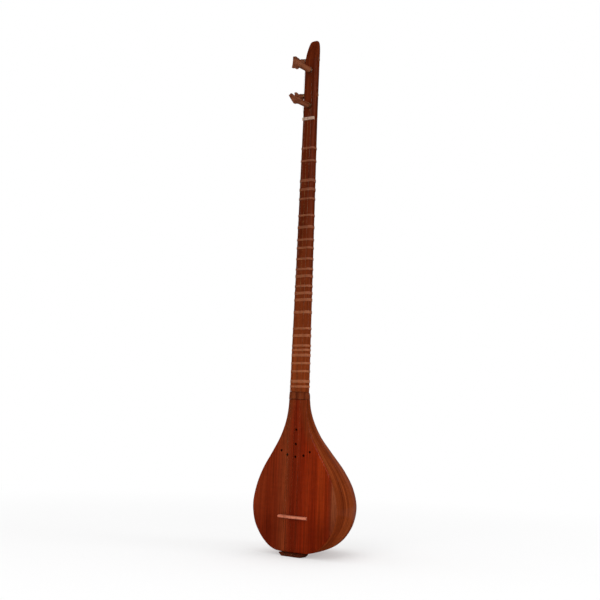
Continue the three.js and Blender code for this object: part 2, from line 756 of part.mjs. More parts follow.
function pegHeadShape() {
  const right = PEG_HEAD_SHARES.map(([across, out]) => new THREE.Vector2(
    across * (PEG_HEAD_HALF_WIDTH - PEG_HEAD_BEVEL),
    out * (PEG_HEAD_LENGTH - PEG_HEAD_BEVEL),
  ));
  const left = right.map((point) => new THREE.Vector2(-point.x, point.y)).reverse();
  return new THREE.Shape([...right, ...left]);
}

function pegGeometry(sunk, reach, turn) {
  const headStart = sunk + reach - PEG_HEAD_LENGTH;
  const profile = [
    [0, 0],
    [PEG_TIP_RADIUS, 0],
    [PEG_FACE_RADIUS, sunk],
    [PEG_NECK_RADIUS, headStart - 2 * PEG_COLLAR_LENGTH],
    [PEG_COLLAR_RADIUS, headStart - PEG_COLLAR_LENGTH / 2],
    [PEG_COLLAR_RADIUS, headStart + PEG_COLLAR_LENGTH / 2],
    [PEG_NECK_RADIUS, headStart + PEG_COLLAR_LENGTH],
    [0, headStart + PEG_COLLAR_LENGTH],
  ].map(([r, z]) => new THREE.Vector2(r, z));
  const stem = new THREE.LatheGeometry(profile, PEG_SIDES).rotateX(Math.PI / 2);
  const head = new THREE.ExtrudeGeometry(pegHeadShape(), {
    depth: PEG_HEAD_THICKNESS - 2 * PEG_HEAD_BEVEL,
    bevelThickness: PEG_HEAD_BEVEL,
    bevelSize: PEG_HEAD_BEVEL,
    bevelSegments: 1,
  });
  head.translate(0, 0, PEG_HEAD_BEVEL - PEG_HEAD_THICKNESS / 2);
  head.rotateX(Math.PI / 2).rotateZ(turn).translate(0, 0, headStart);
  return toGeometry(toSolid(stem).add(toSolid(head)));
}

// Where a peg lies: its axis outwards from the head, and the start of its winding on that axis
function pegPlace(kind, share) {
  const middleY = FACE_Y + NECK_NUT_DEPTH / 2;
  const z = NUT_Z + share * HEAD_LENGTH;
  if (kind === 'front') {
    const out = new THREE.Vector3(0, -1, 0);
    const mouth = new THREE.Vector3(0, FACE_Y, z);
    return { out, mouth, sunk: NECK_NUT_DEPTH - PEG_RECESS, reach: FRONT_PEG_REACH };
  }
  const out = new THREE.Vector3(-1, 0, 0);
  const mouth = new THREE.Vector3(-NECK_NUT_WIDTH / 2, middleY, z);
  return { out, mouth, sunk: NECK_NUT_WIDTH - 2 * PEG_RECESS, reach: SIDE_PEG_REACH };
}

function addPeg(name, place, turn) {
  const peg = addPart(name, pegGeometry(place.sunk, place.reach, turn), PEG_COLOR, 0.4);
  peg.position.copy(place.mouth).addScaledVector(place.out, -place.sunk);
  peg.quaternion.setFromUnitVectors(new THREE.Vector3(0, 0, 1), place.out);
}

// Strings and their windings

// A tube with square sections along straight runs, its corners mitred
function stringTube(points, diameter) {
  const rings = points.map((point, i) => {
    const before = points[Math.max(i - 1, 0)];
    const after = points[Math.min(i + 1, points.length - 1)];
    const along = after.clone().sub(before).normalize();
    const side = new THREE.Vector3(0, 1, 0).cross(along).normalize();
    const front = along.clone().cross(side);
    const ring = [];
    for (let k = 0; k < STRING_SIDES; k += 1) {
      const angle = (2 * Math.PI * k) / STRING_SIDES;
      ring.push(point.clone()
        .addScaledVector(side, (diameter / 2) * Math.cos(angle))
        .addScaledVector(front, (diameter / 2) * Math.sin(angle)));
    }
    return ring;
  });
  return loft(rings);
}

// Where a straight string from a start touches the circle of its turns round a peg
function touchPoint(start, place, centre, radius) {
  const flatStart = start.clone().addScaledVector(place.out, centre.clone().sub(start).dot(place.out));
  const away = flatStart.clone().sub(centre);
  const distance = away.length();
  const across = place.out.clone().cross(away).normalize();
  const cos = radius / distance;
  const sin = Math.sqrt(1 - cos * cos);
  return centre.clone()
    .addScaledVector(away.normalize(), radius * cos)
    .addScaledVector(across, radius * sin);
}

// The lead and the turns of a string on its peg, from where the string touches them
function pegWinding(string, place, start) {
  const radius = PEG_FACE_RADIUS + STRING_CLEARANCE + string.diameter / 2;
  const centre = place.mouth.clone().addScaledVector(place.out, PEG_TURN_OFFSET);
  const touch = touchPoint(start, place, centre, radius);
  const along = touch.clone().sub(start).normalize();
  const spoke = touch.clone().sub(centre);
  const pitch = string.diameter + PEG_TURN_SPACING;
  const path = [touch.clone().addScaledVector(along, -PEG_TURN_LEAD)];
  const spokes = [spoke.clone().setLength(string.diameter / 2)];
  for (let step = 0; step <= string.turns * PEG_TURN_STEPS; step += 1) {
    const turned = spoke.clone().applyAxisAngle(place.out, (2 * Math.PI * step) / PEG_TURN_STEPS);
    const rise = pitch * (step / PEG_TURN_STEPS);
    path.push(centre.clone().add(turned).addScaledVector(place.out, rise));
    spokes.push(turned.clone().setLength(string.diameter / 2));
  }
  const axial = place.out.clone().multiplyScalar(string.diameter / 2);
  const { rings, geometry } = windingTube(path, spokes, axial);
  const end = touch.clone().addScaledVector(along, -PEG_TURN_LEAD - STRING_CLEARANCE);
  return { end, geometry, gap: leastSelfGap(rings, PEG_TURN_STEPS) };
}

// The string's way from its pin over the bridge and the nut
function stringRun(string) {
  const half = string.diameter / 2;
  const tailY = -TAILPIECE_FRONT - STRING_CLEARANCE - half;
  const pinTop = STRING_PIN_Z + STRING_PIN_RADIUS + STRING_CLEARANCE;
  const bridgeY = BRIDGE_TOP_Y + GROOVE_DEPTH - STRING_CLEARANCE - half;
  const nutY = NUT_TOP_Y + GROOVE_DEPTH - STRING_CLEARANCE - half;
  return [
    new THREE.Vector3(string.atTail, tailY, pinTop),
    new THREE.Vector3(string.atTail, tailY, STRING_BEND_Z),
    new THREE.Vector3(string.atBridge, bridgeY, BRIDGE_Z),
    new THREE.Vector3(string.atNut, nutY, NUT_Z),
    new THREE.Vector3(string.atNut, nutY, NUT_Z + NUT_LENGTH),
  ];
}

// A side peg's string bends over the head's left front edge on the shortest way
function edgePoint(string, place) {
  const edgeX = -NECK_NUT_WIDTH / 2 - STRING_CLEARANCE;
  const faceRun = string.atNut - edgeX;
  const sideRun = NECK_NUT_DEPTH / 2 - PEG_FACE_RADIUS;
  const share = faceRun / (faceRun + sideRun);
  const low = NUT_Z + NUT_LENGTH;
  return new THREE.Vector3(edgeX, FACE_Y - STRING_CLEARANCE, low + (place.mouth.z - low) * share);
}

function addStringsAndPegs() {
  const places = [
    { string: STRINGS[0], peg: 'peg_front_high', kind: 'front', share: FRONT_PEG_SHARES[1], turn: 1.48 },
    { string: STRINGS[1], peg: 'peg_front_low', kind: 'front', share: FRONT_PEG_SHARES[0], turn: 2.18 },
    { string: STRINGS[2], peg: 'peg_side_high', kind: 'side', share: SIDE_PEG_SHARES[1], turn: 0.1 },
    { string: STRINGS[3], peg: 'peg_side_low', kind: 'side', share: SIDE_PEG_SHARES[0], turn: 0.15 },
  ];
  let least = Infinity;
  places.forEach(({ string, peg, kind, share, turn }) => {
    const place = pegPlace(kind, share);
    const run = stringRun(string);
    if (kind === 'side') {
      run.push(edgePoint(string, place));
    }
    const { end, geometry, gap } = pegWinding(string, place, run[run.length - 1]);
    least = Math.min(least, gap);
    run.push(end);
    addPart(`string_${string.name}`, stringTube(run, string.diameter), string.color, 0.3, 0.9);
    addPart(`winding_${string.name}`, geometry, string.color, 0.3, 0.9);
    addPeg(peg, place, turn);
  });
  console.log(`least gap between the turns on a peg: ${least.toFixed(2)} mm`);
}

addSoundboard();
addBowl();
addThroatBlock();
addTailBlock();
addTailpiece();
addNeck();
addNut();
addBridge();
addStringsAndPegs();
addFrets();

export default lute;
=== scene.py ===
"""A setar, a small long-necked lute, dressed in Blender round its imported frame.

Every length is in metres, in the frame of the solids: X to the right seen from the front,
-Y to the front, +Z up along the neck, with the origin under the tailpiece.
"""

import logging
import math
from collections.abc import Iterable, Sequence
from dataclasses import dataclass, field, replace
from enum import Enum
from functools import cache
from typing import ClassVar

import bmesh
import bpy
from bpy.types import Material, Node, NodeOutputs, NodeSocket, NodeTree, Object
from mathutils import Matrix, Vector


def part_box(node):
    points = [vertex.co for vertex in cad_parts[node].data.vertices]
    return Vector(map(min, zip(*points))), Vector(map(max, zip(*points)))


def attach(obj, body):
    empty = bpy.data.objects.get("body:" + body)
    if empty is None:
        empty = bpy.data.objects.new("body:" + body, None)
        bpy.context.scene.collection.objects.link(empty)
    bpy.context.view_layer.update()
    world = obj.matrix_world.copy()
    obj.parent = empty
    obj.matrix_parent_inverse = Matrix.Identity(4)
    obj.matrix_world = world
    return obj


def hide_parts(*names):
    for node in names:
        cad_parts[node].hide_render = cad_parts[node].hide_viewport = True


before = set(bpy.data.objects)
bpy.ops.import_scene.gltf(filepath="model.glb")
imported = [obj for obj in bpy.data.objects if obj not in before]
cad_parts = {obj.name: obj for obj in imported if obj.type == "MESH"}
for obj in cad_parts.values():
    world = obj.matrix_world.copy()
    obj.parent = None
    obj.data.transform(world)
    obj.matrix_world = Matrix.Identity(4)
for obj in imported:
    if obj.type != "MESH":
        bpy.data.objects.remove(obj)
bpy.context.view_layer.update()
LOG = logging.getLogger("setar")

MM = 0.001
TURN = 2 * math.pi
FORWARD = Matrix.Rotation(math.pi / 2, 4, "X")
Rgb = tuple[float, float, float]
Table = tuple[tuple[float, float], ...]
Pairs = Sequence[tuple[float, float]]
Ring = list[Vector]
Socket = NodeSocket


def seen(*values: int) -> Rgb:
    """A linear colour from the values that the eye sees.

    Args:
        values: Red, green and blue, from 0 to 255.

    Returns:
        The linear colour.
    """
    shares = [value / 255 for value in values]
    return tuple(s / 12.92 if s <= 0.04045 else ((s + 0.055) / 1.055) ** 2.4 for s in shares)


def spline_point(points: Sequence[Vector], share: float) -> Vector:
    """A point on the centripetal spline through some points.

    Args:
        points: The points that the spline passes through.
        share: How far along, from 0 at the first point to 1 at the last.

    Returns:
        The point there.
    """
    place = min(max(share, 0.0), 1.0) * (len(points) - 1)
    first = min(int(place), len(points) - 2)
    t = place - first
    p1, p2 = points[first], points[first + 1]
    p0 = points[first - 1] if first else 2 * p1 - p2
    p3 = points[first + 2] if first + 2 < len(points) else 2 * p2 - p1
    d0, d1, d2 = (math.sqrt((b - a).length) or 1e-4 for a, b in ((p0, p1), (p1, p2), (p2, p3)))
    m1 = ((p1 - p0) / d0 - (p2 - p0) / (d0 + d1) + (p2 - p1) / d1) * d1
    m2 = ((p2 - p1) / d1 - (p3 - p1) / (d1 + d2) + (p3 - p2) / d2) * d1
    return p1 + m1 * t + (3 * (p2 - p1) - 2 * m1 - m2) * t**2 + (2 * (p1 - p2) + m1 + m2) * t**3


def evenly(points: Sequence[Vector], count: int, samples: int = 1500) -> Ring:
    """Points at equal distances along the spline through some points.

    Args:
        points: The points that the spline passes through.
        count: How many steps to make.
        samples: How finely the spline is measured.

    Returns:
        The points, one more than the steps.
    """
    line = [spline_point(points, i / samples) for i in range(samples + 1)]
    along = [0.0]
    for before, after in zip(line, line[1:]):
        along.append(along[-1] + (after - before).length)
    found, i = [], 0
    for step in range(count + 1):
        wanted = along[-1] * step / count
        while i < samples - 1 and along[i + 1] < wanted:
            i += 1
        span = along[i + 1] - along[i]
        found.append(line[i].lerp(line[i + 1], (wanted - along[i]) / span if span else 0.0))
    return found


def mirrored(guides: Pairs, count: int) -> Ring:
    """A closed outline that is alike on both sides of X = 0.

    Args:
        guides: Pairs of X and Y along its right side, which starts and ends at X = 0.
        count: How many steps each side has.

    Returns:
        The points, anticlockwise where the guides go up.
    """
    right = evenly([Vector((x, y, 0)) for x, y in guides], count)
    return right + [Vector((-point.x, point.y, 0)) for point in reversed(right[1:-1])]


def between(pairs: Pairs, at: float) -> float:
    """The value at a place on a broken line.

    Args:
        pairs: Pairs of place and value.
        at: The place.

    Returns:
        The value there, or the last one beyond the line's end.
    """
    for (x0, y0), (x1, y1) in zip(pairs, pairs[1:]):
        if at <= x1:
            return y0 + (y1 - y0) * max(at - x0, 0.0) / (x1 - x0)
    return pairs[-1][1]


def corners_of(sides: int) -> list[float]:
    """The angles of a regular polygon's corners."""
    return [TURN * k / sides for k in range(sides)]


# Meshes


class Solid:
    """Points and faces of one closed piece, gathered ring by ring.

    Attributes:
        points: Its points.
        faces: The numbers of each face's points.
        openings: The loops that bound each flat opening, which is closed when the piece is made.
        grain: Each point's coordinates in the wood, where a piece carries its own.
    """

    def __init__(self) -> None:
        """Starts without points."""
        self.points: list[Vector] = []
        self.faces: list[tuple[int, ...]] = []
        self.openings: list[Sequence[Sequence[int]]] = []
        self.grain: list[Rgb] = []

    def ring(self, points: Iterable[Vector]) -> list[int]:
        """Adds a ring of points.

        Args:
            points: The points.

        Returns:
            Their numbers.
        """
        start = len(self.points)
        self.points.extend(points)
        return list(range(start, len(self.points)))

    def skin(self, rings: Sequence[Sequence[int]]) -> None:
        """Joins rings of equal count, one after the other, with four-cornered faces.

        Args:
            rings: The numbers of each ring's points.
        """
        for below, above in zip(rings, rings[1:]):
            for i in range(len(below)):
                j = (i + 1) % len(below)
                self.faces.append((below[i], below[j], above[j], above[i]))

    def loft(self, rings: Iterable[Ring]) -> "Solid":
        """Adds a closed body through rings of one count, flat at both ends.

        Args:
            rings: The rings, in order.

        Returns:
            This solid.
        """
        placed = [self.ring(ring) for ring in rings]
        self.skin(placed)
        self.faces += [tuple(reversed(placed[0])), tuple(placed[-1])]
        return self

    def tube(self, path: Sequence[Vector], radius: float, sides: int = 8) -> "Solid":
        """Adds a round tube with domed ends along a path.

        Args:
            path: The points of its middle line.
            radius: Its radius.
            sides: How many sides it has.

        Returns:
            This solid.
        """
        dome = ((-0.8, 0.35), (-0.45, 0.8), (0.0, 1.0))
        angles = corners_of(sides)
        rings: list[Ring] = []
        side = Vector((0.3, 0.5, 0.81))
        for i, point in enumerate(path):
            along = (path[min(i + 1, len(path) - 1)] - path[max(i - 1, 0)]).normalized()
            side = (side - along * side.dot(along)).normalized()
            other = along.cross(side)
            steps = dome if i == 0 else dome[2:]
            if i == len(path) - 1:
                steps = [(-lift, width) for lift, width in reversed(dome)]
            for lift, width in steps:
                centre = point + along * lift * radius
                rings.append([
                    centre + (side * math.cos(a) + other * math.sin(a)) * radius * width for a in angles
                ])
        return self.loft(rings)

    def turned(self, profile: Pairs, sides: int = 32) -> "Solid":
        """Adds a body turned round Z.

        Args:
            profile: Pairs of radius and height, from one end to the other.
            sides: How many sides it has.

        Returns:
            This solid.
        """
        angles = corners_of(sides)
        return self.loft([Vector((r * math.cos(a), r * math.sin(a), z)) for a in angles] for r, z in profile)

    def block(self, low: Rgb, high: Rgb) -> "Solid":
        """Adds a box.

        Args:
            low: Its corner with the lowest coordinates.
            high: Its corner with the highest.

        Returns:
            This solid.
        """
        corners = ((0, 0), (1, 0), (1, 1), (0, 1))
        x, y = (low[0], high[0]), (low[1], high[1])
        return self.loft([Vector((x[i], y[j], z)) for i, j in corners] for z in (low[2], high[2]))

    def moved(self, matrix: Matrix) -> "Solid":
        """Moves every point.

        Args:
            matrix: Where to.

        Returns:
            This solid.
        """
        self.points = [matrix @ point for point in self.points]
        return self

    def piece(self, name: str, sharp: float = 40.0) -> Object:
        """Makes the scene's object, with its openings closed and its faces pointing out.

        Args:
            name: The piece's name.
            sharp: The angle in degrees from which an edge stays sharp.

        Returns:
            The new object.
        """
        mesh = bpy.data.meshes.new(name)
        mesh.from_pydata([tuple(point) for point in self.points], [], self.faces)
        if self.grain:
            mesh.attributes.new("grain", "FLOAT_VECTOR", "POINT")
            mesh.attributes["grain"].data.foreach_set("vector", [v for row in self.grain for v in row])
        shaped = bmesh.new()
        shaped.from_mesh(mesh)
        shaped.verts.ensure_lookup_table()
        for loops in self.openings:
            pairs = [(loop[i - 1], number) for loop in loops for i, number in enumerate(loop)]
            edges = [shaped.edges.get((shaped.verts[a], shaped.verts[b])) for a, b in pairs]
            bmesh.ops.triangle_fill(shaped, edges=edges, use_beauty=True, use_dissolve=False)
        bmesh.ops.recalc_face_normals(shaped, faces=shaped.faces)
        shaped.to_mesh(mesh)
        shaped.free()
        made = bpy.data.objects.new(name, mesh)
        bpy.context.scene.collection.objects.link(made)
        smooth(made, sharp)
        return made


def smooth(piece: Object, sharp: float) -> None:
    """Shades a piece smooth, apart from its edges over an angle in degrees."""
    piece.data.shade_smooth()
    piece.data.set_sharp_from_angle(angle=math.radians(sharp))


def weighted(piece: Object) -> Object:
    """Lets a piece's broad faces shade flat beside its rounded edges.

    Args:
        piece: The piece.

    Returns:
        The piece.
    """
    settled = piece.modifiers.new("broad_faces", "WEIGHTED_NORMAL")
    settled.keep_sharp = True
    settled.weight = 100
    return piece


class Carving(Enum):
    """What carving does with its tool."""

    CUT = "DIFFERENCE"
    JOIN = "UNION"


def carve(piece: Object, tool: Solid, how: Carving = Carving.CUT, sharp: float = 40.0) -> None:
    """Cuts a solid out of a piece, or joins it on.

    Args:
        piece: The piece that changes.
        tool: The solid that cuts or joins.
        how: Whether it cuts or joins.
        sharp: The angle in degrees from which an edge stays sharp.
    """
    cutter = tool.piece("cutter")
    change = piece.modifiers.new("carve", "BOOLEAN")
    change.operation = how.value
    change.solver = "EXACT"
    change.object = cutter
    graph = bpy.context.evaluated_depsgraph_get()
    carved = bpy.data.meshes.new_from_object(piece.evaluated_get(graph))
    piece.modifiers.remove(change)
    piece.data = carved
    bpy.data.objects.remove(cutter)
    smooth(piece, sharp)


def rounded_plate(outline: Ring, thickness: float, edge: float, steps: int = 4) -> Solid:
    """A plate with rounded edges, its outline in X and Y and its thickness about Z.

    Args:
        outline: The closed outline, anticlockwise.
        thickness: The plate's thickness.
        edge: The radius of its rounded edges.
        steps: How many steps round off each edge.

    Returns:
        The plate.
    """
    alongs = [outline[(i + 1) % len(outline)] - outline[i - 1] for i in range(len(outline))]
    outwards = [Vector((along.y, -along.x, 0)).normalized() for along in alongs]
    angles = [math.pi / 2 * (1 - step / steps) for step in range(steps + 1)]
    levels = [(edge * (1 - math.cos(a)), thickness / 2 - edge + edge * math.sin(a)) for a in angles]
    stack = [(inset, -height) for inset, height in levels] + levels[::-1]
    return Solid().loft(
        [point - out * inset + Vector((0, 0, height)) for point, out in zip(outline, outwards)]
        for inset, height in stack
    )


# Materials


class Wiring:
    """Adds nodes to one tree and joins them."""

    def __init__(self, tree: NodeTree) -> None:
        """Starts on the tree that gets the nodes."""
        self.tree = tree

    def node(self, kind: str, inputs: dict | None = None, **settings: object) -> Node:
        """Adds a node.

        Args:
            kind: The node's type, without its ShaderNode prefix.
            inputs: Values or sockets for its inputs, by name or number.
            settings: The node's own settings.

        Returns:
            The node.
        """
        made = self.tree.nodes.new("ShaderNode" + kind)
        for name, value in settings.items():
            setattr(made, name, value)
        for name, value in (inputs or {}).items():
            if isinstance(value, Socket):
                self.tree.links.new(value, made.inputs[name])
            else:
                made.inputs[name].default_value = value
        return made

    def maths(self, operation: str, *values: Socket | float, clamp: bool = False) -> Socket:
        """Adds a Math node.

        Args:
            operation: What it does.
            values: What it works on.
            clamp: Whether the result stays within 0 and 1.

        Returns:
            The result.
        """
        return self.node("Math", dict(enumerate(values)), operation=operation, use_clamp=clamp).outputs[0]

    def times(self, first: Socket | float, second: Socket | float) -> Socket:
        """The product of two values."""
        return self.maths("MULTIPLY", first, second)

    def plus(self, first: Socket | float, second: Socket | float) -> Socket:
        """The sum of two values."""
        return self.maths("ADD", first, second)

    def minus(self, first: Socket | float, second: Socket | float) -> Socket:
        """The first value without the second."""
        return self.maths("SUBTRACT", first, second)

    def axis(self, vector: Socket, number: int) -> Socket:
        """A vector's X, Y or Z, by its number."""
        return self.node("SeparateXYZ", {0: vector}).outputs[number]

    def spread(
        self, value: Socket, low: float, high: float, to_low: float = 0.0, to_high: float = 1.0
    ) -> Socket:
        """Maps a value from one range to another, smoothly and within it.

        Args:
            value: The value's socket.
            low: The range's low end.
            high: The range's high end.
            to_low: What the low end becomes.
            to_high: What the high end becomes.

        Returns:
            The mapped value.
        """
        inputs = {"Value": value, "From Min": low, "From Max": high, "To Min": to_low, "To Max": to_high}
        return self.node("MapRange", inputs, interpolation_type="SMOOTHSTEP").outputs[0]

    def noise(self, vector: Socket, scale: float = 1.0, detail: float = 2.0, rough: float = 0.5) -> Socket:
        """Adds a noise texture.

        Args:
            vector: Where to read it.
            scale: How fine it is.
            detail: How many finer layers it has.
            rough: How strong the finer layers are.

        Returns:
            Its value.
        """
        inputs = {"Vector": vector, "Scale": scale, "Detail": detail, "Roughness": rough}
        return self.node("TexNoise", inputs).outputs[0]

    def stretched(self, vector: Socket, *factors: float | Socket) -> Socket:
        """Scales a vector.

        Args:
            vector: The vector.
            factors: The factor along each axis.

        Returns:
            The scaled vector.
        """
        scale = self.node("CombineXYZ", dict(enumerate(factors))).outputs[0]
        return self.node("VectorMath", {0: vector, 1: scale}, operation="MULTIPLY").outputs[0]

    def scaled(self, vector: Socket, size: Socket, shape: Rgb) -> Socket:
        """A vector in units of a size.

        Args:
            vector: The vector.
            size: The size.
            shape: The factor along each axis.

        Returns:
            The scaled vector.
        """
        share = self.maths("DIVIDE", 1.0, size)
        return self.stretched(vector, *(self.times(share, value) for value in shape))

    def blend(
        self, share: Socket | float, first: Socket | Rgb, second: Socket | Rgb, kind: str = "MIX"
    ) -> Socket:
        """Mixes two colours.

        Args:
            share: How much of the second, from 0 to 1.
            first: The first colour.
            second: The second colour.
            kind: How the colours are mixed.

        Returns:
            The mixed colour.
        """
        colours = [(*value, 1.0) if isinstance(value, tuple) else value for value in (first, second)]
        inputs = {0: share, 6: colours[0], 7: colours[1]}
        return self.node("Mix", inputs, data_type="RGBA", blend_type=kind).outputs[2]

    def ramp(self, share: Socket, stops: Sequence[tuple[float, Rgb]]) -> Socket:
        """Adds a smooth colour ramp.

        Args:
            share: The place on the ramp.
            stops: Pairs of place and colour.

        Returns:
            The ramp's colour.
        """
        made = self.node("ValToRGB", {0: share})
        made.color_ramp.interpolation = "B_SPLINE"
        elements = made.color_ramp.elements
        while len(elements) < len(stops):
            elements.new(0.5)
        for element, (place, colour) in zip(elements, stops):
            element.position = place
            element.color = (*colour, 1.0)
        return made.outputs[0]

    def bump(self, height: Socket, strength: float, distance: float) -> Socket:
        """Adds a Bump node.

        Args:
            height: The relief.
            strength: How strongly it shows.
            distance: How high it is.

        Returns:
            The normal.
        """
        return self.node("Bump", {"Height": height, "Strength": strength, "Distance": distance}).outputs[0]

    def effect(self, effect: "type[Effect]", place: Socket, **sizes: float) -> NodeOutputs:
        """Places a shared effect.

        Args:
            effect: Which effect.
            place: The coordinates that it follows.
            sizes: Those of its sizes that differ from the usual ones.

        Returns:
            Its outputs, by name.
        """
        return self.node("Group", {"Place": place, **sizes}, node_tree=effect.tree()).outputs


class Effect:
    """A surface effect that several materials share: a node group, built once.

    Attributes:
        name: The group's name.
        sizes: Its inputs after the coordinates, with their usual sizes.
        gives: Its outputs.
    """

    name: ClassVar[str]
    sizes: ClassVar[dict[str, float]]
    gives: ClassVar[tuple[str, ...]]

    @staticmethod
    def wire(wiring: Wiring, place: Socket, *sizes: Socket) -> Sequence[Socket]:
        """Adds the effect's nodes.

        Args:
            wiring: The group's wiring.
            place: The coordinates, with a wood's fibres along Z.
            sizes: The effect's sizes, in their order.

        Returns:
            The sockets of the outputs.
        """
        raise NotImplementedError

    @classmethod
    @cache
    def tree(cls) -> NodeTree:
        """The group, made at its first use.

        Returns:
            The group's tree.
        """
        tree = bpy.data.node_groups.new(cls.name, "ShaderNodeTree")
        tree.interface.new_socket("Place", in_out="INPUT", socket_type="NodeSocketVector")
        for name, size in cls.sizes.items():
            socket = tree.interface.new_socket(name, in_out="INPUT", socket_type="NodeSocketFloat")
            socket.default_value = size
        for name in cls.gives:
            tree.interface.new_socket(name, in_out="OUTPUT", socket_type="NodeSocketFloat")
        source, end = tree.nodes.new("NodeGroupInput"), tree.nodes.new("NodeGroupOutput")
        takes = [source.outputs[name] for name in ("Place", *cls.sizes)]
        for name, socket in zip(cls.gives, cls.wire(Wiring(tree), *takes)):
            tree.links.new(socket, end.inputs[name])
        return tree


class Grain(Effect):
    """Bands, fine lines, pores and cross figure of wood."""

    name = "wood_grain"
    sizes = {"Band": 12 * MM, "Line": 1.1 * MM, "Bend": 4 * MM}
    gives = ("Bands", "Lines", "Pores", "Figure")

    @staticmethod
    def wire(wiring: Wiring, place: Socket, band: Socket, line: Socket, bend: Socket) -> Sequence[Socket]:
        """Adds noises drawn out along the fibres, which wander a little.

        Args:
            wiring: The group's wiring.
            place: The coordinates.
            band: The width of a band.
            line: The width of a line.
            bend: How far the fibres wander.

        Returns:
            The sockets of the outputs.
        """
        slow, fine = (9.0, 9.0, 4.0), (60.0, 60.0, 130.0)
        band_shape, line_shape, pore_shape = (1.0, 1.0, 0.05), (1.0, 1.0, 0.012), (2.6, 2.6, 0.11)
        inputs = {"Vector": wiring.stretched(place, *slow), "Scale": 1.0, "Detail": 2.0}
        wander = wiring.node("TexNoise", inputs).outputs[1]
        centred = wiring.node("VectorMath", {0: wander, 1: (0.5, 0.5, 0.5)}, operation="SUBTRACT").outputs[0]
        shifted = wiring.node("VectorMath", {0: centred, "Scale": bend}, operation="SCALE").outputs[0]
        bent = wiring.node("VectorMath", {0: place, 1: shifted}, operation="ADD").outputs[0]
        bands = wiring.noise(wiring.scaled(bent, band, band_shape), detail=2.5, rough=0.55)
        lines = wiring.noise(wiring.scaled(bent, line, line_shape), detail=3.0, rough=0.6)
        pores = wiring.noise(wiring.scaled(bent, line, pore_shape), detail=1.0, rough=0.4)
        return bands, lines, wiring.spread(pores, 0.62, 0.74), wiring.noise(wiring.stretched(place, *fine))


class Lacquer(Effect):
    """Slow ripples and fine specks in a brushed lacquer."""

    name = "lacquer"
    sizes = {"Ripple": 12 * MM}
    gives = ("Ripples", "Specks")

    @staticmethod
    def wire(wiring: Wiring, place: Socket, ripple: Socket) -> Sequence[Socket]:
        """Adds one slow noise and one fine one.

        Args:
            wiring: The group's wiring.
            place: The coordinates.
            ripple: The width of a ripple.

        Returns:
            The sockets of the outputs.
        """
        ripples = wiring.noise(wiring.scaled(place, ripple, (1.0, 1.0, 0.45)), detail=1.5, rough=0.4)
        specks = wiring.noise(place, 2600.0, 1.0)
        return ripples, wiring.spread(specks, 0.66, 0.78)


class Edge(Effect):
    """Where edges are rubbed."""

    name = "worn_edge"
    sizes = {"Reach": 0.6 * MM, "Patches": 6 * MM}
    gives = ("Worn",)

    @staticmethod
    def wire(wiring: Wiring, place: Socket, reach: Socket, patches: Socket) -> Sequence[Socket]:
        """Finds edges by how far a rounded normal leans from the true one, and breaks them up.

        Args:
            wiring: The group's wiring.
            place: The coordinates.
            reach: How far the wear reaches from an edge.
            patches: The size of the rubbed patches.

        Returns:
            The sockets of the outputs.
        """
        rounded = wiring.node("Bevel", {"Radius": reach}, samples=6).outputs[0]
        true = wiring.node("NewGeometry").outputs["Normal"]
        along = wiring.node("VectorMath", {0: rounded, 1: true}, operation="DOT_PRODUCT").outputs["Value"]
        edge = wiring.spread(wiring.minus(1.0, along), 0.01, 0.16)
        broken = wiring.noise(wiring.scaled(place, patches, (1.0, 1.0, 0.5)), detail=4.0, rough=0.65)
        return (wiring.times(edge, wiring.spread(broken, 0.42, 0.68)),)


class Handling(Effect):
    """Faint smears from hands, and settled dust on what faces up."""

    name = "handling"
    sizes = {"Smears": 30 * MM}
    gives = ("Smear", "Dust")

    @staticmethod
    def wire(wiring: Wiring, place: Socket, smears: Socket) -> Sequence[Socket]:
        """Adds the smears' noise, and a fine one where the surface faces up.

        Args:
            wiring: The group's wiring.
            place: The coordinates.
            smears: The size of a smear.

        Returns:
            The sockets of the outputs.
        """
        smear = wiring.noise(wiring.scaled(place, smears, (1.0, 1.0, 0.6)), detail=4.0, rough=0.6)
        facing = wiring.axis(wiring.node("NewGeometry").outputs["Normal"], 2)
        speckle = wiring.spread(wiring.noise(place, 900.0, 3.0, 0.7), 0.5, 0.8)
        return wiring.spread(smear, 0.4, 0.75), wiring.times(wiring.spread(facing, 0.55, 1.0), speckle)


class GrainRun(Enum):
    """Which way the fibres run, as the turn that brings them onto Z."""

    UP = (0.0, 0.0, 0.0)
    ACROSS = (0.0, math.pi / 2, 0.0)
    OUT = (math.pi / 2, 0.0, 0.0)


@dataclass(frozen=True)
class Finish:
    """The look of one kind of surface."""

    name: str

    def place(self, wiring: Wiring) -> Socket:
        """The coordinates that the finish follows."""
        return wiring.node("TexCoord").outputs["Object"]

    def surface(self, wiring: Wiring, place: Socket) -> Socket:
        """Adds the finish's nodes.

        Args:
            wiring: The material's wiring.
            place: The coordinates.

        Returns:
            The shader.
        """
        raise NotImplementedError

    def material(self) -> Material:
        """Builds the material.

        Returns:
            The material.
        """
        made = bpy.data.materials.new(self.name)
        made.use_nodes = True
        made.node_tree.nodes.clear()
        wiring = Wiring(made.node_tree)
        wiring.node("OutputMaterial", {0: self.surface(wiring, self.place(wiring))})
        return made


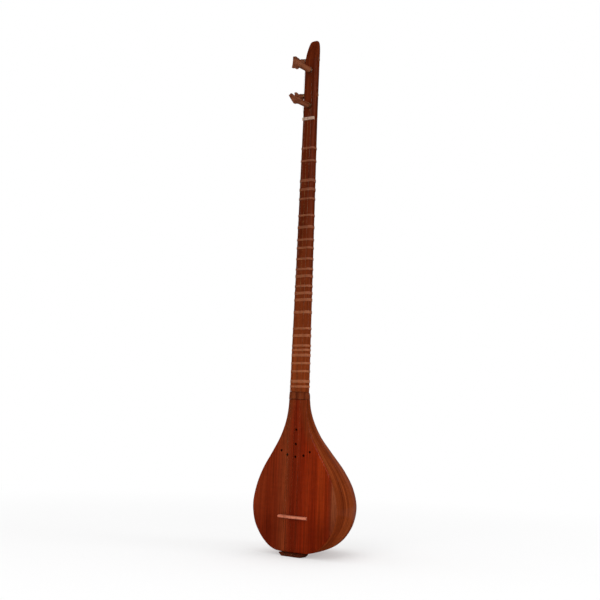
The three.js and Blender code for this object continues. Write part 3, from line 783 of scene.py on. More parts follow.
@dataclass(frozen=True)
class WoodFinish(Finish):
    """Lacquered or oiled wood: bands, lines, pores, worn edges and a clear coat."""

    dark: Rgb
    middle: Rgb
    light: Rgb
    worn: Rgb
    dust: Rgb = (0.4, 0.36, 0.32)
    run: GrainRun = GrainRun.UP
    from_mesh: bool = False
    own_tone: float = 0.22
    band: float = 12 * MM
    line: float = 1.1 * MM
    bend: float = 4 * MM
    roughness: float = 0.4
    specular: float = 0.0
    coat: float = 0.4
    coat_roughness: float = 0.12
    wear: float = 0.5
    pore_darkness: float = 0.5
    dust_cover: float = 0.05
    smear_roughness: float = 0.07
    worn_roughness: float = 0.2
    bump: float = 0.35
    relief: float = 0.04 * MM
    pore_relief: float = -0.8
    ripple_relief: float = 1.2
    speck_relief: float = 0.2

    def place(self, wiring: Wiring) -> Socket:
        """The coordinates of the grain, with the fibres along Z.

        Args:
            wiring: The material's wiring.

        Returns:
            The coordinates. Those of a mesh have its own tone in place of Y.
        """
        if self.from_mesh:
            carried = wiring.node("Attribute", attribute_name="grain", attribute_type="GEOMETRY")
            return carried.outputs["Vector"]
        found = super().place(wiring)
        if self.run is GrainRun.UP:
            return found
        inputs = {"Vector": found, "Rotation": self.run.value}
        return wiring.node("VectorRotate", inputs, rotation_type="EULER_XYZ").outputs[0]

    def tone(self, wiring: Wiring, place: Socket, grain: NodeOutputs) -> Socket:
        """The wood's colour before lines, pores and wear.

        Args:
            wiring: The material's wiring.
            place: The coordinates of the grain.
            grain: The grain effect's outputs.

        Returns:
            The colour.
        """
        share = grain["Bands"]
        if self.from_mesh:
            own = wiring.minus(wiring.axis(place, 1), 0.5)
            share = wiring.plus(share, wiring.times(own, self.own_tone))
        return wiring.ramp(share, ((0.28, self.dark), (0.5, self.middle), (0.74, self.light)))

    def surface(self, wiring: Wiring, place: Socket) -> Socket:
        """Lays lines, pores, wear and dust over the wood's tone.

        Args:
            wiring: The material's wiring.
            place: The coordinates of the grain.

        Returns:
            The shader.
        """
        grain = wiring.effect(Grain, place, Band=self.band, Line=self.line, Bend=self.bend)
        lacquer = wiring.effect(Lacquer, place)
        worn = wiring.times(wiring.effect(Edge, place)["Worn"], self.wear)
        handling = wiring.effect(Handling, place)
        lines, pores = grain["Lines"], grain["Pores"]

        shade = wiring.spread(lines, 0.3, 0.7, 0.66, 1.22)
        shade = wiring.times(shade, wiring.spread(grain["Figure"], 0.25, 0.75, 0.93, 1.07))
        grey = wiring.node("CombineColor", {0: shade, 1: shade, 2: shade}).outputs[0]
        colour = wiring.blend(1.0, self.tone(wiring, place, grain), grey, "MULTIPLY")
        colour = wiring.blend(wiring.times(pores, self.pore_darkness), colour, self.dark)
        colour = wiring.blend(worn, colour, self.worn)
        colour = wiring.blend(wiring.times(handling["Dust"], self.dust_cover), colour, self.dust)

        rough = wiring.spread(lines, 0.2, 0.8, self.roughness + 0.08, self.roughness - 0.05)
        rough = wiring.plus(rough, wiring.times(handling["Smear"], self.smear_roughness))
        rough = wiring.maths("ADD", rough, wiring.times(worn, self.worn_roughness), clamp=True)

        height = wiring.plus(lines, wiring.times(pores, self.pore_relief))
        height = wiring.plus(height, wiring.times(lacquer["Ripples"], self.ripple_relief))
        height = wiring.plus(height, wiring.times(lacquer["Specks"], self.speck_relief))
        inputs = {
            "Base Color": colour,
            "Roughness": rough,
            "Normal": wiring.bump(height, self.bump, self.relief),
            "Coat Weight": wiring.times(wiring.minus(1.0, worn), self.coat),
            "Coat Roughness": self.coat_roughness,
            "Specular IOR Level": self.specular,
        }
        return wiring.node("BsdfPrincipled", inputs).outputs[0]


@dataclass(frozen=True)
class BoardFinish(WoodFinish):
    """The soundboard's wood: upright stripes of differing tone under the grain, one of them a painted
    highlight near the right rim.
    """

    stripes: tuple[tuple[float, Rgb], ...] = ()
    half_width: float = 81 * MM
    wander: float = 10 * MM
    band_share: float = 0.34
    # How strongly painted shade darkens the lower corners, and the heights between which it fades out.
    shade: float = 0.6
    painted_shade_low: float = 35 * MM
    painted_shade_high: float = 90 * MM
    brown: Rgb = (0.15, 0.027, 0.006)
    brown_most: float = 0.75
    brown_inner: float = 60 * MM
    brown_outer: float = 72 * MM
    brown_lean: float = 0.25
    brown_low: float = 165 * MM
    brown_high: float = 200 * MM

    def tone(self, wiring: Wiring, place: Socket, grain: NodeOutputs) -> Socket:
        """Wandering stripes under the wood's bands, one a painted highlight near the right rim, with painted
        shade in the lower corners and browner shoulders.

        Args:
            wiring: The material's wiring.
            place: The coordinates of the grain.
            grain: The grain effect's outputs.

        Returns:
            The colour.
        """
        x, z = wiring.axis(place, 0), wiring.axis(place, 2)
        aside = wiring.maths("ABSOLUTE", x)

        shift = wiring.times(wiring.minus(grain["Bands"], 0.5), self.wander)
        across = wiring.maths("DIVIDE", wiring.plus(x, shift), 2 * self.half_width)
        # The stripes include a painted highlight near the right rim.
        stripes = wiring.ramp(wiring.plus(across, 0.5), self.stripes)
        colour = wiring.blend(self.band_share, stripes, super().tone(wiring, place, grain))

        # Painted shade: the lower corners are blended towards the dark tone, most at the bottom and towards
        # the sides.
        low = wiring.spread(z, self.painted_shade_low, self.painted_shade_high, self.shade, 0.0)
        corner = wiring.spread(aside, 0.15 * self.half_width, 0.6 * self.half_width, 0.1, 1.0)
        colour = wiring.blend(wiring.times(low, corner), colour, self.dark)

        outer = wiring.plus(aside, wiring.times(z, self.brown_lean))
        outer = wiring.spread(outer, self.brown_inner, self.brown_outer, 0.0, self.brown_most)
        high = wiring.spread(z, self.brown_low, self.brown_high)
        return wiring.blend(wiring.times(outer, high), colour, self.brown)


@dataclass(frozen=True)
class CollarFinish(WoodFinish):
    """The throat's wood, with a dark line at each joint."""

    joints: tuple[float, ...] = ()
    joint_width: float = 1.1 * MM
    joint_darkness: float = 0.55

    def tone(self, wiring: Wiring, place: Socket, grain: NodeOutputs) -> Socket:
        """The wood's own tone, darkened where a joint is near.

        Args:
            wiring: The material's wiring.
            place: The coordinates of the grain.
            grain: The grain effect's outputs.

        Returns:
            The colour.
        """
        colour = super().tone(wiring, place, grain)
        z = wiring.axis(place, 2)
        for joint in self.joints:
            off = wiring.maths("ABSOLUTE", wiring.minus(z, joint))
            near = wiring.spread(off, 0.4 * self.joint_width, self.joint_width, self.joint_darkness, 0.0)
            colour = wiring.blend(near, colour, self.dark)
        return colour


@dataclass(frozen=True)
class NeckFinish(WoodFinish):
    """The neck's wood, paler towards its foot."""

    pale: Rgb = (0.2, 0.05, 0.015)
    foot: float = 262 * MM
    end: float = 600 * MM
    paleness: float = 0.8

    def tone(self, wiring: Wiring, place: Socket, grain: NodeOutputs) -> Socket:
        """The wood's tone, which grows paler from the head to the foot.

        Args:
            wiring: The material's wiring.
            place: The coordinates of the grain.
            grain: The grain effect's outputs.

        Returns:
            The colour.
        """
        colour = super().tone(wiring, place, grain)
        share = wiring.spread(wiring.axis(place, 2), self.foot, self.end, self.paleness, 0.0)
        share = wiring.times(share, wiring.spread(grain["Bands"], 0.2, 0.7, 0.7, 1.0))
        return wiring.blend(share, colour, self.pale)


@dataclass(frozen=True)
class GutFinish(Finish):
    """Dyed gut: translucent, faintly twisted, paler towards the neck's foot and where it stands proud."""

    dark: Rgb
    light: Rgb
    pale: Rgb
    roughness: float = 0.36
    foot: float = 262 * MM
    end: float = 620 * MM
    paleness: float = 0.6
    smears: float = 0.35
    wear: float = 0.2

    def surface(self, wiring: Wiring, place: Socket) -> Socket:
        """Lays mottle, smears and wear over the gut, and fine fibres along it.

        Args:
            wiring: The material's wiring.
            place: The coordinates.

        Returns:
            The shader.
        """
        worn = wiring.effect(Edge, place, Reach=0.3 * MM, Patches=3 * MM)["Worn"]
        smear = wiring.effect(Handling, place, Smears=12 * MM)["Smear"]
        mottle = wiring.noise(place, 700.0, 4.0, 0.6)
        fibre = wiring.noise(wiring.stretched(place, 900.0, 900.0, 5200.0))
        high = wiring.spread(wiring.axis(place, 2), self.foot, self.end, self.paleness, 0.0)
        colour = wiring.ramp(mottle, ((0.3, self.dark), (0.7, self.light)))
        colour = wiring.blend(high, colour, self.pale)
        colour = wiring.blend(wiring.times(smear, self.smears), colour, self.dark)
        inputs = {
            "Base Color": wiring.blend(wiring.times(worn, self.wear), colour, self.light),
            "Roughness": wiring.spread(mottle, 0.3, 0.7, self.roughness - 0.06, self.roughness + 0.1),
            "Normal": wiring.bump(fibre, 0.4, 0.05 * MM),
            "Subsurface Weight": 0.12,
            "Subsurface Scale": 0.6 * MM,
            "Specular IOR Level": 0.45,
        }
        return wiring.node("BsdfPrincipled", inputs).outputs[0]


@dataclass(frozen=True)
class BoneFinish(Finish):
    """Polished bone: pale, with short grey flecks along its length."""

    pale: Rgb
    fleck: Rgb
    smears: float = 0.3
    wear: float = 0.3

    def surface(self, wiring: Wiring, place: Socket) -> Socket:
        """Lays flecks, smears and wear over the bone.

        Args:
            wiring: The material's wiring.
            place: The coordinates.

        Returns:
            The shader.
        """
        worn = wiring.effect(Edge, place, Reach=0.25 * MM, Patches=4 * MM)["Worn"]
        smear = wiring.effect(Handling, place, Smears=9 * MM)["Smear"]
        flecks = wiring.noise(wiring.stretched(place, 500.0, 2600.0, 2600.0), 1.0, 3.0, 0.6)
        colour = wiring.ramp(flecks, ((0.35, self.fleck), (0.55, self.pale)))
        colour = wiring.blend(wiring.times(smear, self.smears), colour, self.fleck)
        inputs = {
            "Base Color": wiring.blend(wiring.times(worn, self.wear), colour, self.pale),
            "Roughness": wiring.spread(flecks, 0.3, 0.7, 0.4, 0.26),
            "Normal": wiring.bump(flecks, 0.25, 0.03 * MM),
            "Subsurface Weight": 0.15,
            "Subsurface Scale": 1.2 * MM,
        }
        return wiring.node("BsdfPrincipled", inputs).outputs[0]


@dataclass(frozen=True)
class WireFinish(Finish):
    """Drawn or wound metal string."""

    colour: Rgb
    tarnish: Rgb
    wound: bool = False
    smear_roughness: float = 0.1

    def surface(self, wiring: Wiring, place: Socket) -> Socket:
        """Lays tarnish over the metal, with the wrapping's ridges or the marks of drawing.

        Args:
            wiring: The material's wiring.
            place: The coordinates.

        Returns:
            The shader.
        """
        smear = wiring.effect(Handling, place, Smears=14 * MM)["Smear"]
        spots = wiring.noise(wiring.stretched(place, 900.0, 900.0, 160.0), 1.0, 4.0, 0.7)
        rough = wiring.spread(spots, 0.3, 0.8, 0.2, 0.42)
        if self.wound:
            ridges = wiring.node("TexWave", {"Vector": place, "Scale": 1400.0}, bands_direction="Z")
            normal = wiring.bump(ridges.outputs[1], 0.6, 0.03 * MM)
        else:
            marks = wiring.noise(wiring.stretched(place, 9000.0, 9000.0, 300.0))
            normal = wiring.bump(marks, 0.2, 0.01 * MM)
        inputs = {
            "Base Color": wiring.blend(wiring.spread(spots, 0.45, 0.75, 0.0, 0.7), self.colour, self.tarnish),
            "Roughness": wiring.plus(rough, wiring.times(smear, self.smear_roughness)),
            "Normal": normal,
            "Metallic": 1.0,
        }
        return wiring.node("BsdfPrincipled", inputs).outputs[0]


@dataclass(frozen=True)
class FloorFinish(Finish):
    """The studio's pale matt floor, which fades into the white room with the distance."""

    colour: Rgb
    near: float = 0.2
    far: float = 1.3
    least: float = 0.4

    def surface(self, wiring: Wiring, place: Socket) -> Socket:
        """Mixes the matt floor with plain white.

        Args:
            wiring: The material's wiring.
            place: The coordinates.

        Returns:
            The shader.
        """
        rough = wiring.spread(wiring.noise(place, 1.5), 0.3, 0.7, 0.85, 0.95)
        inputs = {"Base Color": (*self.colour, 1.0), "Roughness": rough, "Specular IOR Level": 0.1}
        near = wiring.node("BsdfPrincipled", inputs).outputs[0]
        far = wiring.node("Emission", {"Color": (1, 1, 1, 1), "Strength": 1.0}).outputs[0]
        distance = wiring.node("VectorMath", {0: place}, operation="LENGTH").outputs["Value"]
        share = wiring.spread(distance, self.near, self.far, self.least, 1.0)
        return wiring.node("MixShader", {0: share, 1: near, 2: far}).outputs[0]


PEG_WOOD = WoodFinish(
    name="peg_wood",
    dark=seen(64, 28, 14), middle=seen(104, 54, 32),
    light=seen(140, 84, 56), worn=seen(166, 112, 80),
    run=GrainRun.OUT,
    band=6 * MM,
    line=0.7 * MM,
    coat=0.25,
    coat_roughness=0.2,
    wear=0.8,
)


def built(finish: Finish) -> Material:
    """A field that holds a finish's material."""
    return field(default_factory=finish.material)


@dataclass
class Finishes:
    """Every finish of the instrument, as a built material."""

    board: Material = built(BoardFinish(
        name="soundboard_wood",
        dark=seen(84, 18, 4), middle=seen(116, 32, 9),
        light=seen(140, 52, 20), worn=seen(150, 78, 42),
        # The pale stop at 0.955 is a painted highlight: a light streak a few millimetres inside the right
        # rim.
        stripes=(
            (0.0, seen(118, 44, 18)), (0.13, seen(112, 40, 16)), (0.2, seen(96, 28, 9)),
            (0.3, seen(96, 27, 9)), (0.39, seen(134, 64, 32)), (0.44, seen(110, 34, 12)),
            (0.5, seen(92, 18, 4)), (0.54, seen(116, 38, 14)), (0.58, seen(104, 20, 4)),
            (0.67, seen(128, 36, 8)), (0.75, seen(108, 22, 4)), (0.83, seen(146, 50, 12)),
            (0.89, seen(126, 36, 9)), (0.93, seen(102, 30, 9)), (0.955, seen(140, 80, 48)),
            (1.0, seen(122, 62, 34)),
        ),
        brown=seen(106, 44, 18),
        band=16 * MM,
        coat=0.22,
        wear=0.35,
    ))
    stave: Material = built(WoodFinish(
        name="stave_wood",
        dark=seen(92, 33, 10), middle=seen(117, 48, 18),
        light=seen(138, 66, 30), worn=seen(150, 88, 52),
        from_mesh=True,
        band=9 * MM,
        coat=0.2,
        wear=0.3,
    ))
    throat: Material = built(CollarFinish(
        name="throat_wood",
        dark=seen(76, 27, 11), middle=seen(110, 49, 23),
        light=seen(128, 64, 33), worn=seen(146, 86, 54),
        joints=(250.2 * MM, 261.9 * MM),
        band=9 * MM,
    ))
    neck: Material = built(NeckFinish(
        name="neck_wood",
        dark=seen(66, 20, 7), middle=seen(84, 29, 10),
        light=seen(100, 40, 16), worn=seen(136, 76, 44),
        pale=seen(130, 58, 24),
        band=10 * MM,
        coat=0.08,
        wear=0.45,
    ))
    peg: Material = built(PEG_WOOD)
    side_peg: Material = built(replace(PEG_WOOD, name="side_peg_wood", run=GrainRun.ACROSS))
    bridge: Material = built(WoodFinish(
        name="bridge_wood",
        dark=seen(146, 70, 48), middle=seen(197, 110, 82),
        light=seen(218, 140, 110), worn=seen(232, 184, 160),
        run=GrainRun.ACROSS,
        band=5 * MM,
        line=0.6 * MM,
        coat=0.15,
        coat_roughness=0.25,
    ))
    # The tailpiece's dark tones are partly its own dark wood and partly painted shade, for the shadow at the
    # instrument's foot.
    tailpiece: Material = built(WoodFinish(
        name="tailpiece_wood",
        dark=seen(36, 12, 6), middle=seen(66, 24, 12),
        light=seen(92, 40, 22), worn=seen(128, 78, 50),
        run=GrainRun.ACROSS,
        band=6 * MM,
        line=0.8 * MM,
        coat=0.35,
    ))
    inside: Material = built(WoodFinish(
        name="inner_block_wood",
        dark=seen(96, 58, 32), middle=seen(142, 98, 60),
        light=seen(176, 132, 88), worn=seen(190, 150, 106),
        coat=0.0,
        roughness=0.7,
        wear=0.2,
    ))
    gut: Material = built(GutFinish(
        name="fret_gut",
        dark=seen(106, 48, 22),
        light=seen(148, 82, 47),
        pale=seen(182, 104, 60),
    ))
    bone: Material = built(BoneFinish(
        name="nut_bone",
        pale=seen(192, 164, 144),
        fleck=seen(150, 112, 92),
    ))
    steel: Material = built(WireFinish(
        name="string_steel",
        colour=(0.3, 0.24, 0.19),
        tarnish=(0.16, 0.1, 0.07),
    ))
    brass: Material = built(WireFinish(
        name="string_brass",
        colour=(0.46, 0.3, 0.12),
        tarnish=(0.22, 0.12, 0.05),
    ))
    wound: Material = built(WireFinish(
        name="string_wound_brass",
        colour=(0.42, 0.26, 0.1),
        tarnish=(0.2, 0.11, 0.04),
        wound=True,
    ))


def settle(piece: Object, material: Material, body: str, *nodes: str) -> Object:
    """Gives a piece its material, its body and the nodes that it stands for.

    Args:
        piece: The new piece.
        material: Its finish.
        body: The body that it moves with.
        nodes: The nodes that it replaces.

    Returns:
        The piece.
    """
    piece.data.materials.clear()
    piece.data.materials.append(material)
    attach(piece, body)
    if nodes:
        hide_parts(*nodes)
    said = piece.name, len(piece.data.vertices), body, ", ".join(nodes) or "no node"
    LOG.info("%s (%d points) rides on %s and stands for %s", *said)
    return piece


# Body


@dataclass
class BowlForm:
    """The bowl's outer form: half ellipses along one profile, from the tail to the throat."""

    glue_gap: float = 0.3 * MM
    guides: tuple[tuple[float, float, float], ...] = (
        (0, 0.11, 0.09), (0.003, 0.32, 0.35), (0.011, 0.45, 0.58), (0.032, 0.58, 0.75),
        (0.064, 0.7, 0.85), (0.105, 0.81, 0.91), (0.179, 0.94, 0.97), (0.286, 1, 1),
        (0.405, 0.94, 0.94), (0.528, 0.79, 0.78), (0.651, 0.56, 0.565), (0.754, 0.38, 0.385),
        (0.856, 0.265, 0.26), (0.938, 0.22, 0.19), (1, 0.208, 0.163),
    )
    half_width: float = field(init=False)
    depth: float = field(init=False)
    bottom: float = field(init=False)
    top: float = field(init=False)
    board: float = field(init=False)
    rim: float = field(init=False)

    def __post_init__(self) -> None:
        """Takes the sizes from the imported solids."""
        low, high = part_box("soundboard")
        self.half_width, self.bottom, self.top, self.board = high.x, low.z, high.z, high.y
        self.rim = self.board + self.glue_gap
        self.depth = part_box("stave_08")[1].y - self.rim

    def profile(self, count: int) -> Ring:
        """Points along the profile: half width, depth and height.

        Args:
            count: How many steps to make.

        Returns:
            The points, from the tail to the throat.
        """
        height = self.top - self.bottom
        guides = [
            Vector((across * self.half_width, back * self.depth, self.bottom + up * height))
            for up, across, back in self.guides
        ]
        return evenly(guides, count)

    def point(self, row: Vector, angle: float) -> Vector:
        """A point on the bowl at an angle from the right rim (0) to the left rim (pi)."""
        return Vector((row.x * math.cos(angle), self.rim + row.y * math.sin(angle), row.z))

    def normal(self, rows: Ring, i: int, angle: float) -> Vector:
        """The outward direction at a place on the bowl.

        Args:
            rows: The bowl's profile.
            i: The row's number.
            angle: The angle, as for point.

        Returns:
            The direction, one long.
        """
        up = self.point(rows[min(i + 1, len(rows) - 1)], angle) - self.point(rows[max(i - 1, 0)], angle)
        around = self.point(rows[i], angle + 0.01) - self.point(rows[i], angle - 0.01)
        return around.cross(up).normalized()


@dataclass
class Bowl:
    """Fifteen bent staves side by side."""

    form: BowlForm
    finishes: Finishes
    staves: int = 15
    rows: int = 110
    columns: int = 7
    wall: float = 3 * MM
    seam: float = 0.1 * MM
    edge: float = 0.35 * MM
    edge_most: float = 0.2
    edge_steps: Table = ((0.0, 0.75), (0.4, 0.22), (1.0, 0.0))
    flatness: float = 0.3
    grain_aside: float = 0.31
    grain_up: float = 0.17
    tones: tuple[float, ...] = (
        0.25, 0.6, 0.8, 0.45, 0.1, 0.7, 0.35, 0.95, 0.3, 0.6, 0.15, 0.85, 0.4, 0.75, 0.5,
    )

    def angles(self) -> list[float]:
        """The angles that share the widest row's arc into equal staves.

        Returns:
            The angles, from the right rim to the left one.
        """
        steps = 900
        widest = Vector((self.form.half_width, self.form.depth, 0))
        arc = [self.form.point(widest, math.pi * k / steps) for k in range(steps + 1)]
        along = [0.0]
        for before, after in zip(arc, arc[1:]):
            along.append(along[-1] + (after - before).length)
        found = []
        for stave in range(self.staves + 1):
            wanted = along[-1] * stave / self.staves
            found.append(math.pi * min(range(steps + 1), key=lambda k: abs(along[k] - wanted)) / steps)
        return found

    def stave(self, number: int, start: float, end: float, rows: Ring) -> Solid:
        """One stave between two angles, a little flatter than the arc, with eased edges.

        Args:
            number: The stave's number, from 0.
            start: The angle of its first edge.
            end: The angle of its second edge.
            rows: The bowl's profile.

        Returns:
            The stave.
        """
        made = Solid()
        aside, up, own = number * self.grain_aside, number * self.grain_up, self.tones[number]
        rings: list[Ring] = []
        along = 0.0
        for i, row in enumerate(rows):
            if i:
                along += (row - rows[i - 1]).length
            speed = [math.hypot(row.x * math.sin(a), row.y * math.cos(a)) for a in (start, end)]
            first = start + self.seam / 2 / speed[0]
            last = end - self.seam / 2 / speed[1]
            corners = self.form.point(row, first), self.form.point(row, last)
            width = (corners[1] - corners[0]).length

            ease = min(self.edge / width, self.edge_most)
            side = [(share * ease, low * self.edge) for share, low in self.edge_steps]
            middle = [(ease + (1 - 2 * ease) * k / self.columns, 0.0) for k in range(1, self.columns)]
            outside = side + middle + [(1 - share, low) for share, low in reversed(side)]
            inside = (1.0, 0.5, 0.0)

            ring: Ring = []
            for share, low in outside:
                angle = first + (last - first) * share
                flat = corners[0].lerp(corners[1], share)
                bent = self.form.point(row, angle).lerp(flat, self.flatness)
                ring.append(bent - self.form.normal(rows, i, angle) * low)
            for share in inside:
                angle = first + (last - first) * share
                ring.append(self.form.point(row, angle) - self.form.normal(rows, i, angle) * self.wall)
            rings.append(ring)
            shares = [share for share, _ in outside] + list(inside)
            made.grain += [((share - 0.5) * width + aside, own, along + up) for share in shares]
        return made.loft(rings)

    def build(self) -> None:
        """Builds the staves and dresses the tail block."""
        rows = self.form.profile(self.rows)
        angles = self.angles()
        for number in range(self.staves):
            node = f"stave_{number + 1:02d}"
            made = self.stave(number, angles[number], angles[number + 1], rows).piece(f"bent_{node}")
            settle(weighted(made), self.finishes.stave, "instrument", node)
        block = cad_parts["tail_block"]
        block.data.materials.clear()
        block.data.materials.append(self.finishes.inside)
        LOG.info("tail_block keeps its solid and gets its finish")


@dataclass
class Soundboard:
    """The flat front plate with its seven small sound holes."""

    form: BowlForm
    finishes: Finishes
    rows: int = 130
    edge: float = 4.2 * MM
    edge_depth: float = 1.5 * MM
    edge_steps: int = 9
    back_edge: float = 0.1 * MM
    back_ease: float = 0.2 * MM
    hole_radius: float = 2.1 * MM
    hole_ease: float = 0.35 * MM
    hole_round: tuple[float, float] = (0.1 * MM, 0.12 * MM)
    hole_sides: int = 28
    holes: Table = (
        (0, 0.8), (0, 0.705), (0, 0.622), (-0.34, 0.658), (-0.195, 0.633), (0.195, 0.633),
        (0.34, 0.658),
    )

    def outline(self, rows: Ring, inset: float, y: float) -> Ring:
        """The board's outline, drawn in.

        Args:
            rows: The bowl's profile.
            inset: How far it is drawn in.
            y: Its depth.

        Returns:
            The outline, up the right side and down the left.
        """
        right = []
        for i, row in enumerate(rows):
            up = rows[min(i + 1, self.rows)] - rows[max(i - 1, 0)]
            out = Vector((up.z, 0, -up.x)).normalized()
            if i in (0, self.rows):
                out = Vector((1, 0, -1 if i == 0 else 1))
            right.append(Vector((row.x, y, row.z)) - out * inset)
        return right + [Vector((-point.x, point.y, point.z)) for point in reversed(right)]

    def hole(self, made: Solid, across: float, up: float) -> list[list[int]]:
        """Adds the wall of one sound hole.

        Args:
            made: The board.
            across: The hole's place, as a share of the half width.
            up: The hole's place, as a share of the height.

        Returns:
            The numbers of its front ring's points, and of its back ring's.
        """
        back = self.form.board + self.back_edge
        height = self.form.top - self.form.bottom
        centre = Vector((across * self.form.half_width, 0, self.form.bottom + up * height))
        spokes = [(math.cos(a), math.sin(a)) for a in corners_of(self.hole_sides)]
        rings = []
        for wide, y in ((self.hole_ease, 0.0), self.hole_round, (0.0, self.hole_ease), (0.0, back)):
            radius = self.hole_radius + wide
            rings.append(made.ring(centre + Vector((radius * x, y, radius * z)) for x, z in spokes))
        made.skin(rings)
        return [rings[0], rings[-1]]

    def build(self) -> None:
        """Builds the board."""
        made = Solid()
        rows = self.form.profile(self.rows)
        back = self.form.board
        angles = [math.pi / 2 * k / self.edge_steps for k in reversed(range(self.edge_steps + 1))]
        levels = [(self.edge * (1 - math.cos(a)), self.edge_depth * (1 - math.sin(a))) for a in angles]
        levels += [(0.0, back - self.back_edge), (self.back_ease, back + self.back_edge)]
        rings = [made.ring(self.outline(rows, inset, depth)) for inset, depth in levels]
        made.skin(rings)
        loops = [[rings[0], rings[-1]]] + [self.hole(made, across, up) for across, up in self.holes]
        made.openings = [[front for front, _ in loops], [behind for _, behind in loops]]
        board = made.piece("flat_soundboard", 35.0)
        settle(weighted(board), self.finishes.board, "instrument", "soundboard")


@dataclass
class Throat:
    """The block between bowl and neck, whose collar shows."""

    form: BowlForm
    finishes: Finishes
    foot_gap: float = 0.06 * MM
    band_rise: float = 7 * MM
    band_share: float = 0.985
    top_share: float = 0.955
    top_depth_share: float = 0.84
    inset: float = 3.3 * MM
    ease: float = 0.3 * MM
    lift: float = 0.25 * MM
    corner: float = 0.9 * MM
    corner_gap: float = 0.05 * MM
    corner_cut: float = 0.29
    core_front: float = 0.15 * MM
    mortise_width: float = 12.6 * MM
    mortise_depth: float = 9.6 * MM
    mortise_gap: float = 0.3 * MM
    mortise_over: float = 5 * MM
    steps: int = 36

    def ring(self, half: float, depth: float, front: float, z: float) -> Ring:
        """A half round with a flat front, its front corners eased.

        Args:
            half: Its half width.
            depth: Its depth behind the rim.
            front: Where its front is.
            z: Its height.

        Returns:
            The ring.
        """
        corner = min(self.corner, self.form.rim - front - self.corner_gap)
        cut = self.corner_cut * corner
        right = [(half - corner, front), (half - cut, front + cut), (half, front + corner)]
        left = [(-x, y) for x, y in reversed(right)]
        angles = [math.pi * i / self.steps for i in range(self.steps + 1)]
        arc = [(half * math.cos(a), self.form.rim + depth * math.sin(a)) for a in angles]
        return [Vector((x, y, z)) for x, y in (left[-1], *right, *arc, *left[:-1])]

    def build(self) -> None:
        """Builds the collar and its core, with the neck's mortise."""
        low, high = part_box("throat_block")
        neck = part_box("neck")[0]
        end = self.form.profile(20)[-1]
        bottom = self.form.top + self.foot_gap
        band = self.form.top + self.band_rise
        top = high.z + self.lift
        ease, side, behind = self.ease, self.top_share, self.top_depth_share
        levels = (
            (1.0, 1.0, bottom, ease),
            (1.0, 1.0, bottom + 0.5 * ease, 0.12 * ease),
            (0.999, 0.999, bottom + ease, 0.0),
            (0.993, 0.994, (bottom + band) / 2, 0.0),
            (self.band_share, self.band_share, band, 0.0),
            (0.972, 0.93, (band + top) / 2, 0.0),
            (side, behind, top - ease, 0.0),
            (side, behind, top - 0.5 * ease, 0.12 * ease),
            (side, behind, top, ease),
        )
        rings = [self.ring(end.x * a - cut, end.y * b - cut, cut, z) for a, b, z, cut in levels]
        block = Solid().loft(rings).piece("throat_collar", 50.0)
        front = self.form.rim - self.core_front
        core = [self.ring(end.x - self.inset, end.y - self.inset, front, z) for z in (low.z, band)]
        carve(block, Solid().loft(core), Carving.JOIN)
        half, deep = self.mortise_width / 2, self.mortise_depth / 2
        middle = neck.y + NeckForm.foot_depth / 2 + self.mortise_gap
        start, over = neck.z - self.mortise_gap, high.z + self.mortise_over
        mortise = Solid().block((-half, middle - deep, start), (half, middle + deep, over))
        carve(block, mortise, Carving.CUT, 50.0)
        settle(weighted(block), self.finishes.throat, "instrument", "throat_block")


# Neck


@dataclass
class NeckForm:
    """The neck's outer form, shared by the neck, the frets, the nut, the pegs and the strings."""

    foot_width: float = 32 * MM
    foot_depth: float = 21.5 * MM
    nut_width: float = 23.3 * MM
    nut_depth: float = 18.5 * MM
    nut_length: float = 5 * MM
    foot: float = 262 * MM
    nut: float = 712 * MM
    face: float = -1.5 * MM
    head_length: float = 139 * MM
    slope_length: float = 35 * MM
    tip_half: float = 5.6 * MM
    section: Table = (
        (0, 0), (0.45, 0), (0.74, 0.006), (0.88, 0.03), (0.96, 0.09), (0.995, 0.19), (1, 0.3),
        (0.995, 0.38), (0.93, 0.565), (0.8, 0.745), (0.62, 0.89), (0.42, 0.975), (0.2, 1), (0, 1),
    )
    front_cut: Table = (
        (0, 0), (0.34, 0.16), (0.68, 0.36), (0.88, 0.49), (0.96, 0.56), (1, 0.64),
    )
    back_cut: Table = (
        (0, 1), (0.5, 1), (0.7, 0.985), (0.85, 0.93), (0.95, 0.83), (1, 0.7),
    )
    rounds: int = 56
    shares: Ring = field(init=False)

    def __post_init__(self) -> None:
        """Spaces the section's shares of half width and depth evenly round the neck."""
        self.shares = mirrored(self.section, self.rounds // 2)

    def size(self, z: float) -> tuple[float, float]:
        """The neck's size at a height.

        Args:
            z: The height.

        Returns:
            The half width and the depth.
        """
        share = min((z - self.foot) / (self.nut - self.foot), 1.0)
        half = (self.foot_width + (self.nut_width - self.foot_width) * share) / 2
        return half, self.foot_depth + (self.nut_depth - self.foot_depth) * share

    def ring(self, z: float, half: float, front: float, back: float) -> Ring:
        """A ring of the neck at a height, of a half width and between a front and a back plane."""
        return [Vector((share.x * half, front + share.y * (back - front), z)) for share in self.shares]

    def wrapped(self, z: float, share: float, lift: float) -> Vector:
        """A point at a height, lifted off the neck's surface.

        Args:
            z: The height.
            share: How far round, in turns from the front's middle.
            lift: The distance from the surface.

        Returns:
            The point.
        """
        half, depth = self.size(z)
        count = len(self.shares)
        place = (share % 1.0) * count
        first = int(place) % count
        part = place - int(place)
        corners = [self.shares[(first + k) % count] for k in (-1, 0, 1, 2)]
        points = [Vector((c.x * half, self.face + c.y * depth, z)) for c in corners]
        along = (points[2] - points[0]).lerp(points[3] - points[1], part)
        return points[1].lerp(points[2], part) + Vector((along.y, -along.x, 0)).normalized() * lift


